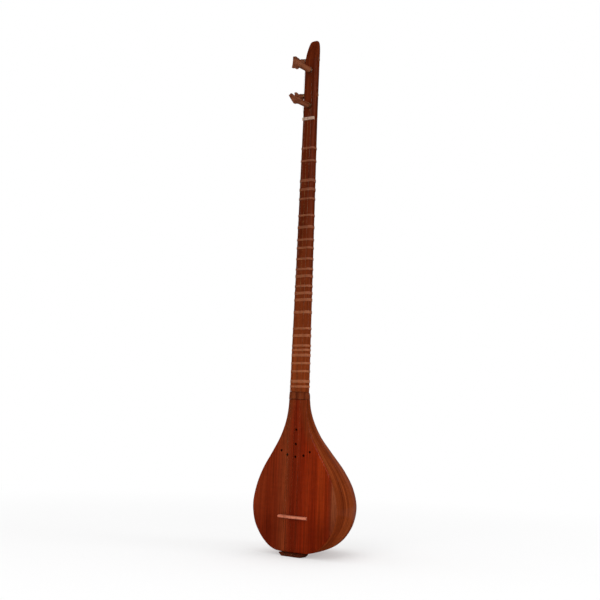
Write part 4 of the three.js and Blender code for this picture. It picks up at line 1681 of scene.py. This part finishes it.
@dataclass
class Neck:
    """The neck and its head, one piece of wood, with peg holes and the nut's slot."""

    form: NeckForm
    finishes: Finishes
    pegs: "Pegs"
    foot_ease: float = 0.5 * MM
    neck_steps: int = 24
    head_steps: int = 14
    tip_steps: int = 22
    tip_start: float = 0.9
    tip_span: float = 0.1
    tip_rounding: float = 0.75
    tenon_half: float = 6 * MM
    tenon_half_depth: float = 4.5 * MM
    tenon_back: float = 0.3 * MM
    tenon_overlap: float = 1 * MM
    slot_depth: float = 3.3 * MM
    slot_reach: float = 20 * MM
    slot_gap: float = 0.15 * MM
    clearance: float = 0.2 * MM

    def rings(self) -> list[Ring]:
        """The neck's rings.

        Returns:
            The rings, from the foot to the rounded tip.
        """
        form = self.form
        slope = form.nut + form.head_length - form.slope_length
        heights = [form.foot + self.foot_ease * k for k in (0.0, 0.4, 1.0)]
        for low, high, steps in ((form.foot, form.nut, self.neck_steps), (form.nut, slope, self.head_steps)):
            heights += [low + (high - low) * k / steps for k in range(1, steps + 1)]
        rings = []
        for z in heights:
            half, depth = form.size(z)
            cut = self.foot_ease * max(0.0, 1 - (z - form.foot) / self.foot_ease) ** 2
            rings.append(form.ring(z, half - cut, form.face + cut, form.face + depth - cut))
        half, depth = form.size(form.nut)
        for k in range(1, self.tip_steps + 1):
            up = math.sin(math.pi / 2 * k / self.tip_steps)
            across = form.tip_half + (half - form.tip_half) * math.sqrt(max(1 - up * up, 0.0))
            if up > self.tip_start:
                past = (up - self.tip_start) / self.tip_span
                across *= math.sqrt(max(1 - past**2 * self.tip_rounding, 0.0))
            front = form.face + between(form.front_cut, up) * depth
            back = form.face + between(form.back_cut, up) * depth
            rings.append(form.ring(slope + up * form.slope_length, across, front, back))
        return rings

    def build(self) -> None:
        """Builds the neck."""
        form = self.form
        neck = Solid().loft(self.rings()).piece("neck_and_head")
        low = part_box("neck")[0]
        half, deep = self.tenon_half, self.tenon_half_depth
        middle = form.face + form.foot_depth / 2 + self.tenon_back
        top = form.foot + self.tenon_overlap
        carve(neck, Solid().block((-half, middle - deep, low.z), (half, middle + deep, top)), Carving.JOIN)
        reach, gap = self.slot_reach, self.slot_gap
        carve(neck, Solid().block(
            (-reach, form.face - reach, form.nut - gap),
            (reach, form.face + self.slot_depth, form.nut + form.nut_length + gap),
        ))
        for place in self.pegs.places():
            carve(neck, Solid().turned(self.pegs.bore(place, self.clearance)).moved(place.laid()))
        settle(weighted(neck), self.finishes.neck, "instrument", "neck")


@dataclass
class Frets:
    """Tied gut frets: each one gut string wound three or four times round the neck and knotted."""

    form: NeckForm
    finishes: Finishes
    string_length: float = 650 * MM
    wide: tuple[int, ...] = (3, 4, 7, 12, 14, 15, 16, 18, 21, 24)
    shares: tuple[float, ...] = (
        0.073, 0.106, 0.157, 0.18, 0.204, 0.247, 0.277, 0.309, 0.33, 0.358, 0.384, 0.402, 0.427,
        0.445, 0.462, 0.493, 0.534, 0.552, 0.577, 0.588, 0.601, 0.621, 0.641, 0.666, 0.679,
    )
    gut: float = 1.08 * MM
    gut_height: float = 0.62 * MM
    gut_sides: int = 8
    gut_ends: tuple[float, ...] = (0.45, 0.85)
    pitch: float = 1.15 * MM
    lift: float = 0.12 * MM
    steps: int = 56
    knot_share: float = 0.625
    knot_swing: float = 0.012
    knot_width: float = 0.92
    knot_rise: float = 2.3
    knot_thickness: float = 0.86
    knot_steps: int = 8

    def winding(self, z: float, turns: int) -> Solid:
        """One fret's turns and its knot.

        Args:
            z: The height of its middle.
            turns: How many turns it has.

        Returns:
            The fret.
        """
        half_wide, half_high = self.gut / 2, self.gut_height / 2
        rings: list[Ring] = []
        count = turns * self.steps
        for step in range(count + 1):
            share = step / self.steps
            height = z + self.pitch * (share - turns / 2)
            under = self.form.wrapped(height, share + self.knot_share, 0.0)
            centre = self.form.wrapped(height, share + self.knot_share, half_high + self.lift)
            out = (centre - under).normalized()
            end = min(step, count - step)
            size = self.gut_ends[end] if end < len(self.gut_ends) else 1.0
            rings.append([
                centre + out * half_high * size * math.sin(a) + Vector((0, 0, half_wide * size * math.cos(a)))
                for a in corners_of(self.gut_sides)
            ])
        made = Solid().loft(rings)
        for side in (-1, 1):
            strand = []
            for k in range(self.knot_steps + 1):
                t = k / self.knot_steps
                height = z + side * self.pitch * turns / 2 * (1 - 2 * t) * self.knot_width
                share = self.knot_share - side * self.knot_swing * math.cos(math.pi * t)
                over = self.lift + half_high * (1.0 + self.knot_rise * math.sin(math.pi * t))
                strand.append(self.form.wrapped(height, share, over))
            made.tube(strand, half_high * self.knot_thickness, 7)
        return made

    def build(self) -> None:
        """Builds the frets."""
        for number, share in enumerate(self.shares, 1):
            node = f"fret_{number:02d}"
            turns = 4 if number in self.wide else 3
            z = self.form.nut - share * self.string_length
            made = self.winding(z, turns).piece(f"tied_{node}", 60.0)
            settle(made, self.finishes.gut, node, node)


# Pegs and strings


class PegSide(Enum):
    """Which side of the head a peg stands on, as its outward direction."""

    FRONT = (0.0, -1.0, 0.0)
    LEFT = (-1.0, 0.0, 0.0)


@dataclass
class PegPlace:
    """Where one peg stands, and which string winds on it."""

    name: str
    side: PegSide
    rise: float
    turn: float
    string: str
    form: NeckForm
    front_reach: float = 48 * MM
    front_short: float = 0.5 * MM
    left_reach: float = 25 * MM
    left_short: float = 1 * MM
    mouth: Vector = field(init=False)
    sunk: float = field(init=False)
    reach: float = field(init=False)

    def __post_init__(self) -> None:
        """Works out the mouth of its hole, its sunk length and its reach."""
        form = self.form
        z = form.nut + self.rise * form.head_length
        if self.side is PegSide.FRONT:
            self.mouth = Vector((0, form.face, z))
            self.sunk, self.reach = form.nut_depth - self.front_short, self.front_reach
        else:
            self.mouth = Vector((-form.nut_width / 2, form.face + form.nut_depth / 2, z))
            self.sunk, self.reach = form.nut_width - self.left_short, self.left_reach

    def laid(self) -> Matrix:
        """The way from the peg's own frame, tip at 0 and head along +Z, to its hole.

        Returns:
            The matrix.
        """
        out = Vector(self.side.value)
        turned = Vector((0, 0, 1)).rotation_difference(out).to_matrix().to_4x4()
        return Matrix.Translation(self.mouth - out * self.sunk) @ turned


@dataclass
class Pegs:
    """Four tapered pegs with T heads."""

    form: NeckForm
    finishes: Finishes
    tip_radius: float = 4 * MM
    tip_cut: float = 0.5 * MM
    tip_ease: float = 0.4 * MM
    face_radius: float = 4.7 * MM
    neck_radius: float = 4.5 * MM
    stem_end: float = 4.6 * MM
    bead_place: float = 4.2 * MM
    bead_half: float = 0.5 * MM
    bead_height: float = 0.45 * MM
    bead_steps: int = 6
    collar_radius: float = 5.3 * MM
    collar_place: float = 2.3 * MM
    collar_half: float = 1.7 * MM
    collar_bulge: float = 0.7
    collar_steps: int = 10
    root_share: float = 0.9
    root_length: float = 2.2 * MM
    head_length: float = 14 * MM
    head_half: float = 9.6 * MM
    head_thickness: float = 8 * MM
    head_edge: float = 0.85 * MM
    wing_thinning: float = 0.32
    outline: Table = (
        (0, -0.12), (0.46, -0.1), (0.47, 0.16), (0.54, 0.4), (0.72, 0.56), (0.94, 0.62), (1, 0.72),
        (0.99, 0.9), (0.92, 0.96), (0.7, 0.9), (0.36, 0.83), (0, 0.81),
    )

    def places(self) -> list[PegPlace]:
        """The four pegs' places.

        Returns:
            The places, the front pegs first.
        """
        return [
            PegPlace("peg_front_high", PegSide.FRONT, 0.611, 1.48, "white", self.form),
            PegPlace("peg_front_low", PegSide.FRONT, 0.175, 2.18, "yellow", self.form),
            PegPlace("peg_side_high", PegSide.LEFT, 0.754, 0.1, "drone", self.form),
            PegPlace("peg_side_low", PegSide.LEFT, 0.32, 0.15, "bass", self.form),
        ]

    def bore(self, place: PegPlace, clearance: float, over: float = 4 * MM) -> Pairs:
        """The profile of a peg's tapered hole, longer than the head is deep.

        Args:
            place: The peg's place.
            clearance: The room round the peg.
            over: How much longer the tool is at each end.

        Returns:
            Pairs of radius and height.
        """
        slope = (self.face_radius - self.tip_radius) / place.sunk
        low, high = self.tip_radius + clearance - slope * over, self.face_radius + clearance + slope * over
        return [(low, -over), (high, place.sunk + over)]

    def stem(self, sunk: float, start: float) -> Pairs:
        """The turned profile from the tip to the head, with its bead and its collar.

        Args:
            sunk: How much of it is in the hole.
            start: Where the head starts.

        Returns:
            Pairs of radius and height.
        """
        neck = self.neck_radius
        profile = [(self.tip_radius - self.tip_cut, 0.0), (self.tip_radius, self.tip_ease)]
        profile += [(self.face_radius, sunk), (neck, start - self.stem_end)]
        for k in range(self.bead_steps + 1):
            angle = math.pi * k / self.bead_steps
            up = start - self.bead_place + self.bead_half * (1 - math.cos(angle))
            profile.append((neck + self.bead_height * math.sin(angle), up))
        for k in range(self.collar_steps + 1):
            angle = math.pi * k / self.collar_steps
            up = start - self.collar_place + self.collar_half * (1 - math.cos(angle))
            profile.append((neck + (self.collar_radius - neck) * math.sin(angle) ** self.collar_bulge, up))
        profile.append((neck * self.root_share, start + self.root_length))
        return profile

    def head(self, start: float, turn: float) -> Solid:
        """The T head, thinner towards its wings.

        Args:
            start: Where it starts along the peg.
            turn: How far it is turned round the peg.

        Returns:
            The head.
        """
        outline = mirrored([(x * self.head_half, y * self.head_length) for x, y in self.outline], 40)
        head = rounded_plate(outline, self.head_thickness, self.head_edge)
        for point in head.points:
            point.z *= 1 - self.wing_thinning * (point.x / self.head_half) ** 2
        return head.moved(Matrix.Translation((0, 0, start)) @ Matrix.Rotation(turn, 4, "Z") @ FORWARD)

    def build(self) -> None:
        """Builds the pegs."""
        for place in self.places():
            start = place.sunk + place.reach - self.head_length
            made = Solid().turned(self.stem(place.sunk, start), 36).piece(f"turned_{place.name}")
            carve(made, self.head(start, place.turn), Carving.JOIN, 45.0)
            made.data.transform(place.laid())
            material = self.finishes.peg if place.side is PegSide.FRONT else self.finishes.side_peg
            settle(weighted(made), material, place.name, place.name)


@dataclass
class StringSpec:
    """One string: its name, diameter, places across the bars, turns on the peg and finish."""

    name: str
    diameter: float
    bridge: float
    nut: float
    tail: float
    turns: int
    material: Material


@dataclass
class Strings:
    """The four strings from their pins to their pegs, and the turns on the pegs."""

    form: NeckForm
    pegs: Pegs
    finishes: Finishes
    plain: float = 0.22 * MM
    thick: float = 0.36 * MM
    bridge_half: float = 55.5 * MM / 2
    bridge_z: float = 62 * MM
    bridge_top: float = -6.2 * MM
    bridge_rest: float = 1 * MM
    nut_top: float = -3.3 * MM
    nut_rest: float = 0.6 * MM
    groove: float = 0.42 * MM
    tail_half: float = 25 * MM
    tail_y: float = -2.5 * MM
    tail_start: float = 0.6 * MM
    tail_end: float = 2.2 * MM
    pin_z: float = 2 * MM
    pin_radius: float = 0.9 * MM
    corner_lift: float = 0.1 * MM
    winding_start: float = 1.2 * MM
    winding_steps: int = 28
    winding_pitch: float = 1.08
    eye_room: float = 0.6
    eye_sink: float = 0.1 * MM
    eye_steps: int = 24
    twist_lean: float = 0.75
    twist_steps: int = 40
    twist_turn: int = 8
    twist_rise: float = 0.05 * MM

    def specs(self) -> list[StringSpec]:
        """The strings, with their places across bridge, nut and tailpiece.

        Returns:
            The strings, from right to left.
        """
        bridge, nut, tail, kit = self.bridge_half, self.form.nut_width / 2, self.tail_half, self.finishes
        return [
            StringSpec("white", self.plain, 0.378 * bridge, 0.558 * nut, 0.28 * tail, 10, kit.steel),
            StringSpec("yellow", self.plain, -0.018 * bridge, 0.034 * nut, 0.04 * tail, 10, kit.brass),
            StringSpec("drone", self.plain, -0.389 * bridge, -0.481 * nut, -0.28 * tail, 9, kit.steel),
            StringSpec("bass", self.thick, -0.49 * bridge, -0.67 * nut, -0.44 * tail, 7, kit.wound),
        ]

    def run(self, spec: StringSpec) -> Ring:
        """The string's way from its pin over the bridge and the nut.

        Args:
            spec: The string.

        Returns:
            The points of its middle line.
        """
        half = spec.diameter / 2
        tail_y, top = self.tail_y - half, self.pin_z + self.pin_radius
        bridge_y = self.bridge_top + self.groove - half
        nut_y = self.nut_top + self.groove - half
        return [
            Vector((spec.tail, tail_y, top + self.tail_start)),
            Vector((spec.tail, tail_y, top + self.tail_end)),
            Vector((spec.bridge, bridge_y, self.bridge_z - self.bridge_rest)),
            Vector((spec.bridge, bridge_y, self.bridge_z + self.bridge_rest)),
            Vector((spec.nut, nut_y, self.form.nut + self.nut_rest)),
            Vector((spec.nut, nut_y, self.form.nut + self.form.nut_length)),
        ]

    def corner(self, spec: StringSpec, low: float, mouth: float) -> Vector:
        """Where a string to a side peg bends over the head's front left edge.

        Args:
            spec: The string.
            low: The height at which it leaves the nut.
            mouth: The height of its peg.

        Returns:
            The point.
        """
        edge = -self.form.nut_width / 2
        face_run = spec.nut - edge
        share = face_run / (face_run + self.form.nut_depth / 2 - self.pegs.face_radius)
        lift = self.corner_lift
        return Vector((edge - lift, self.form.face + lift, low + (mouth - low) * share))

    @staticmethod
    def touch(start: Vector, out: Vector, centre: Vector, radius: float) -> Vector:
        """Where a straight string touches its turns round a peg.

        Args:
            start: Where the string comes from.
            out: The peg's outward direction.
            centre: The middle of its first turn.
            radius: The turn's radius.

        Returns:
            The point.
        """
        away = start + out * (centre - start).dot(out) - centre
        across = out.cross(away).normalized()
        cos = radius / away.length
        return centre + away.normalized() * radius * cos + across * radius * math.sqrt(1 - cos * cos)

    def eye(self, spec: StringSpec) -> Ring:
        """The string's eye round its pin, with the twisted stretch above it.

        Args:
            spec: The string.

        Returns:
            The points of its middle line.
        """
        radius = self.pin_radius + spec.diameter * self.eye_room
        lean = spec.diameter * self.twist_lean
        y, top = self.tail_y - spec.diameter / 2, self.pin_z + radius
        points = []
        for k in range(self.eye_steps + 1):
            angle = TURN * (0.25 + k / self.eye_steps)
            x, z = radius * math.cos(angle), radius * math.sin(angle)
            points.append(Vector((spec.tail + x, y + self.eye_sink, self.pin_z + z)))
        for k in range(1, self.twist_steps + 1):
            angle = TURN * k / self.twist_turn
            x, out = lean * math.sin(angle), lean * math.cos(angle)
            points.append(Vector((spec.tail + x, y + out, top + k * self.twist_rise)))
        return points

    def coil(self, spec: StringSpec, centre: Vector, spoke: Vector, out: Vector) -> Ring:
        """The turns of a string on its peg.

        Args:
            spec: The string.
            centre: The middle of the first turn.
            spoke: From there to where the string arrives.
            out: The peg's outward direction.

        Returns:
            The points of their middle line.
        """
        pitch = spec.diameter * self.winding_pitch
        points = []
        for step in range(spec.turns * self.winding_steps + 1):
            share = step / self.winding_steps
            points.append(centre + Matrix.Rotation(TURN * share, 3, out) @ spoke + out * pitch * share)
        return points

    def build(self) -> None:
        """Builds each string with its eye round the pin, and its turns on the peg."""
        places = {place.string: place for place in self.pegs.places()}
        for spec in self.specs():
            place, half = places[spec.name], spec.diameter / 2
            out = Vector(place.side.value)
            centre = place.mouth + out * self.winding_start
            path = self.run(spec)
            if place.side is PegSide.LEFT:
                path.append(self.corner(spec, path[-1].z, place.mouth.z))
            path.append(self.touch(path[-1], out, centre, self.pegs.face_radius + half))
            string, winding = f"string_{spec.name}", f"winding_{spec.name}"
            made = Solid().tube(path, half, 10).tube(self.eye(spec), half, 8)
            settle(made.piece(f"strung_{spec.name}", 60.0), spec.material, "instrument", string)
            turns = Solid().tube(self.coil(spec, centre, path[-1] - centre, out), half, 6)
            settle(turns.piece(f"coiled_{winding}", 60.0), spec.material, place.name, winding)


# Bars that carry the strings


@dataclass
class NotchedBar:
    """A bar along X with a groove under every string."""

    strings: Strings
    finishes: Finishes
    notch_half: float = 0.4 * MM
    notch_depth: float = 0.55 * MM
    columns: int = 260
    end_angles: tuple[float, ...] = (0, 0.3, 0.6, 0.9, 1.2, 1.57)

    def notch(self, x: float, places: Sequence[float]) -> float:
        """How deep the grooves are at a place across.

        Args:
            x: The place across.
            places: The strings' places.

        Returns:
            The depth.
        """
        return max(self.notch_depth * max(0.0, 1 - ((x - at) / self.notch_half) ** 2) for at in places)

    def stations(self, half: float, ease: float) -> Pairs:
        """The places across at which the bar's sections stand.

        Args:
            half: The bar's half length.
            ease: How far its rounded ends reach.

        Returns:
            Pairs of place and fullness, which is 0 at the very ends and 1 between the rounded ones.
        """
        ends = [(-half + ease * (1 - math.cos(a)), math.sin(a)) for a in self.end_angles]
        inner = half - ease
        middle = [(-inner + 2 * inner * k / self.columns, 1.0) for k in range(1, self.columns)]
        return ends + middle + [(-x, full) for x, full in reversed(ends)]


@dataclass
class Bridge(NotchedBar):
    """The low loose bridge."""

    half: float = 27.75 * MM
    height: float = 6.2 * MM
    end_height: float = 3.4 * MM
    end_ease: float = 0.6 * MM
    end_share: float = 0.72
    end_sink: float = 0.06
    shoulder: float = 19 * MM
    shoulder_dip: float = 0.15 * MM
    shoulder_reach: float = 3 * MM
    arch_half: float = 14 * MM
    arch_height: float = 1.7 * MM
    foot: float = 0.2 * MM
    foot_thickness: float = 5 * MM
    section: Table = (
        (0.94, 0), (1, 0.05), (0.985, 0.12), (0.86, 0.5), (0.66, 0.82), (0.5, 0.93), (0.3, 0.985),
        (0, 1),
    )

    def column(self, x: float, drawn: float) -> Ring:
        """The bridge's section at a place across.

        Args:
            x: The place across.
            drawn: The share of its thickness that it has there.

        Returns:
            The ring.
        """
        off = abs(x)
        under = self.foot + self.arch_height * max(0.0, 1 - (off / self.arch_half) ** 2)
        top = between(((0, self.height), (self.shoulder, self.height), (self.half, self.end_height)), off)
        top -= self.shoulder_dip * math.exp(-((off - self.shoulder) / self.shoulder_reach) ** 2)
        top -= self.notch(x, [spec.bridge for spec in self.strings.specs()])
        half = self.foot_thickness / 2 * drawn
        rise = (top - under) * (1 - self.end_sink * (1 - drawn))
        up = [(share * half, under + level * rise) for share, level in self.section]
        down = [(-across, out) for across, out in reversed(up[:-1])]
        return [Vector((x, -out, self.strings.bridge_z + across)) for across, out in up + down]

    def build(self) -> None:
        """Builds the bridge."""
        stations = self.stations(self.half, self.end_ease)
        share = self.end_share
        made = Solid().loft(self.column(x, share + (1 - share) * full) for x, full in stations)
        settle(weighted(made.piece("arched_bridge", 42.0)), self.finishes.bridge, "bridge", "bridge")


@dataclass
class Nut(NotchedBar):
    """The bone nut in its slot."""

    half: float = 10.9 * MM
    end_ease: float = 0.5 * MM
    sunk: float = 3 * MM
    standing: float = 1.8 * MM
    rounding: Table = (
        (0, 0.9 * MM), (0.25 * MM, 0.35 * MM), (0.8 * MM, 0.06 * MM), (1.6 * MM, 0), (3.4 * MM, 0),
        (4.2 * MM, 0.08 * MM), (4.8 * MM, 0.45 * MM), (5 * MM, 1 * MM),
    )

    def build(self) -> None:
        """Builds the nut."""
        form = self.strings.form
        places = [spec.nut for spec in self.strings.specs()]
        rings = []
        for x, full in self.stations(self.half, self.end_ease):
            top = self.standing - self.end_ease * (1 - full) - self.notch(x, places)
            eased = [(up, top - low) for up, low in self.rounding]
            profile = [(0, -self.sunk), *eased, (form.nut_length, -self.sunk)]
            rings.append([Vector((x, form.face - out, form.nut + up)) for up, out in profile])
        made = Solid().loft(rings).piece("bone_nut", 42.0)
        settle(weighted(made), self.finishes.bone, "instrument", "nut")


@dataclass
class Tailpiece:
    """The small bar at the lower end with its four string pins."""

    strings: Strings
    finishes: Finishes
    top_half: float = 25 * MM
    bottom_half: float = 18.5 * MM
    front: float = -2.2 * MM
    back: float = 14 * MM
    height: float = 6 * MM
    edge: float = 0.7 * MM
    top_corner: float = 3.4 * MM
    bottom_corner: float = 1.6 * MM
    corner_steps: int = 5
    pin_reach: float = 1.8 * MM
    pin_shape: Table = (
        (1, 4.8 * MM), (1, 0.75 * MM), (1.25, 0.6 * MM), (1.3, 0.35 * MM), (1.1, 0.1 * MM),
        (0.5, 0),
    )

    def outline(self) -> Ring:
        """The bar's outline seen from the front, with rounded corners.

        Returns:
            The outline, anticlockwise.
        """
        low, high = self.bottom_half, self.top_half
        places = (-low, 0), (low, 0), (high, self.height), (-high, self.height)
        corners = [Vector((x, z, 0)) for x, z in places]
        points = []
        for i, corner in enumerate(corners):
            before, after = corners[i - 1] - corner, corners[(i + 1) % 4] - corner
            reach = self.top_corner if corner.y > 0 else self.bottom_corner
            start, end = corner + before.normalized() * reach, corner + after.normalized() * reach
            for k in range(self.corner_steps + 1):
                t = k / self.corner_steps
                points.append(start * (1 - t) ** 2 + corner * 2 * t * (1 - t) + end * t**2)
        return points

    def build(self) -> None:
        """Builds the bar and its pins."""
        plate = rounded_plate(self.outline(), self.back - self.front, self.edge)
        plate.moved(Matrix.Translation((0, (self.front + self.back) / 2, 0)) @ FORWARD)
        made = plate.piece("carved_tailpiece")
        radius = self.strings.pin_radius
        profile = [(radius * share, self.pin_reach - low) for share, low in self.pin_shape]
        for spec in self.strings.specs():
            place = Matrix.Translation((spec.tail, self.front, self.strings.pin_z))
            carve(made, Solid().turned(profile, 20).moved(place @ FORWARD), Carving.JOIN)
        settle(weighted(made), self.finishes.tailpiece, "instrument", "tailpiece")


# Studio


@dataclass
class Studio:
    """Pale floor, soft lights and the camera at the photograph's place."""

    camera_place: Rgb = (0.972057, -1.394405, 0.235721)
    camera_right: Rgb = (0.8212929, 0.5691105, 0.0398903)
    camera_up: Rgb = (0.0259381, -0.1070973, 0.9939101)
    lens: float = 62.82
    aim: Rgb = (0.0, 0.04, 0.38)
    room_light: float = 0.7
    floor_radius: float = 14.0
    floor_thickness: float = 0.02

    def build(self) -> None:
        """Builds the studio."""
        self.world()
        self.floor()
        self.lamp("key_light", (0.3, -2.3, 1.6), (1.4, 1.4), 20.0)
        self.lamp("strip_light", (1.75, -1.2, 0.42), (0.4, 0.8), 1.5)
        self.lamp("right_light", (2.0, 0.6, 1.1), (0.8, 1.2), 10.0)
        self.lamp("top_light", (0.0, 0.3, 2.4), (2.0, 2.0), 14.0)
        self.lamp("pale_backdrop", (-1.0, 1.8, 0.5), (2.4, 1.6), 2.0).visible_diffuse = False
        glow = self.lamp("floor_behind", (0.3, 1.1, 0.004), (2.2, 1.5), 1.6)
        glow.rotation_euler = (math.pi, 0, 0)
        glow.visible_diffuse = False
        self.camera()

    def world(self) -> None:
        """A white backdrop that lights the part only a little."""
        world = bpy.data.worlds.new("white_room")
        bpy.context.scene.world = world
        world.use_nodes = True
        world.node_tree.nodes.clear()
        world.cycles_visibility.glossy = False
        wiring = Wiring(world.node_tree)
        seen_directly = wiring.node("LightPath").outputs["Is Camera Ray"]
        strength = wiring.plus(self.room_light, wiring.times(seen_directly, 1.0 - self.room_light))
        light = wiring.node("Background", {"Color": (1, 1, 1, 1), "Strength": strength})
        wiring.node("OutputWorld", {0: light.outputs[0]})

    def floor(self) -> None:
        """A wide round floor, on which the tailpiece rests."""
        profile = ((self.floor_radius, -self.floor_thickness), (self.floor_radius, 0.0))
        made = Solid().turned(profile, 96).piece("pale_floor")
        made.data.materials.append(FloorFinish("pale_floor", (0.9, 0.9, 0.9)).material())
        made.visible_glossy = False

    def lamp(self, name: str, place: Rgb, size: tuple[float, float], power: float) -> Object:
        """Adds a soft light that faces the instrument.

        Args:
            name: The light's name.
            place: Where it stands.
            size: Its width and height.
            power: Its power in watts.

        Returns:
            The light.
        """
        data = bpy.data.lights.new(name, "AREA")
        data.shape = "RECTANGLE"
        data.size, data.size_y, data.energy = *size, power
        made = bpy.data.objects.new(name, data)
        made.location = place
        made.rotation_euler = (Vector(self.aim) - Vector(place)).to_track_quat("-Z", "Y").to_euler()
        made.visible_camera = False
        bpy.context.scene.collection.objects.link(made)
        return made

    def camera(self) -> None:
        """The camera at the photograph's viewing angle."""
        data = bpy.data.cameras.new("photo_camera")
        data.lens, data.sensor_width = self.lens, 36.0
        right, up = Vector(self.camera_right).normalized(), Vector(self.camera_up)
        back = right.cross(up).normalized()
        made = bpy.data.objects.new("photo_camera", data)
        turned = Matrix((right, back.cross(right), back)).transposed().to_4x4()
        made.matrix_world = Matrix.Translation(self.camera_place) @ turned
        bpy.context.scene.collection.objects.link(made)
        bpy.context.scene.camera = made


def main() -> None:
    """Builds the studio and the instrument, sub-assembly by sub-assembly."""
    logging.basicConfig(level=logging.INFO, format="%(name)s: %(message)s")
    bpy.context.scene.view_settings.view_transform = "Standard"
    Studio().build()
    finishes = Finishes()
    bowl_form, neck_form = BowlForm(), NeckForm()
    Bowl(bowl_form, finishes).build()
    Soundboard(bowl_form, finishes).build()
    Throat(bowl_form, finishes).build()
    pegs = Pegs(neck_form, finishes)
    Neck(neck_form, finishes, pegs).build()
    Frets(neck_form, finishes).build()
    pegs.build()
    strings = Strings(neck_form, pegs, finishes)
    strings.build()
    Bridge(strings, finishes).build()
    Nut(strings, finishes).build()
    Tailpiece(strings, finishes).build()


if __name__ == "__main__":
    main()
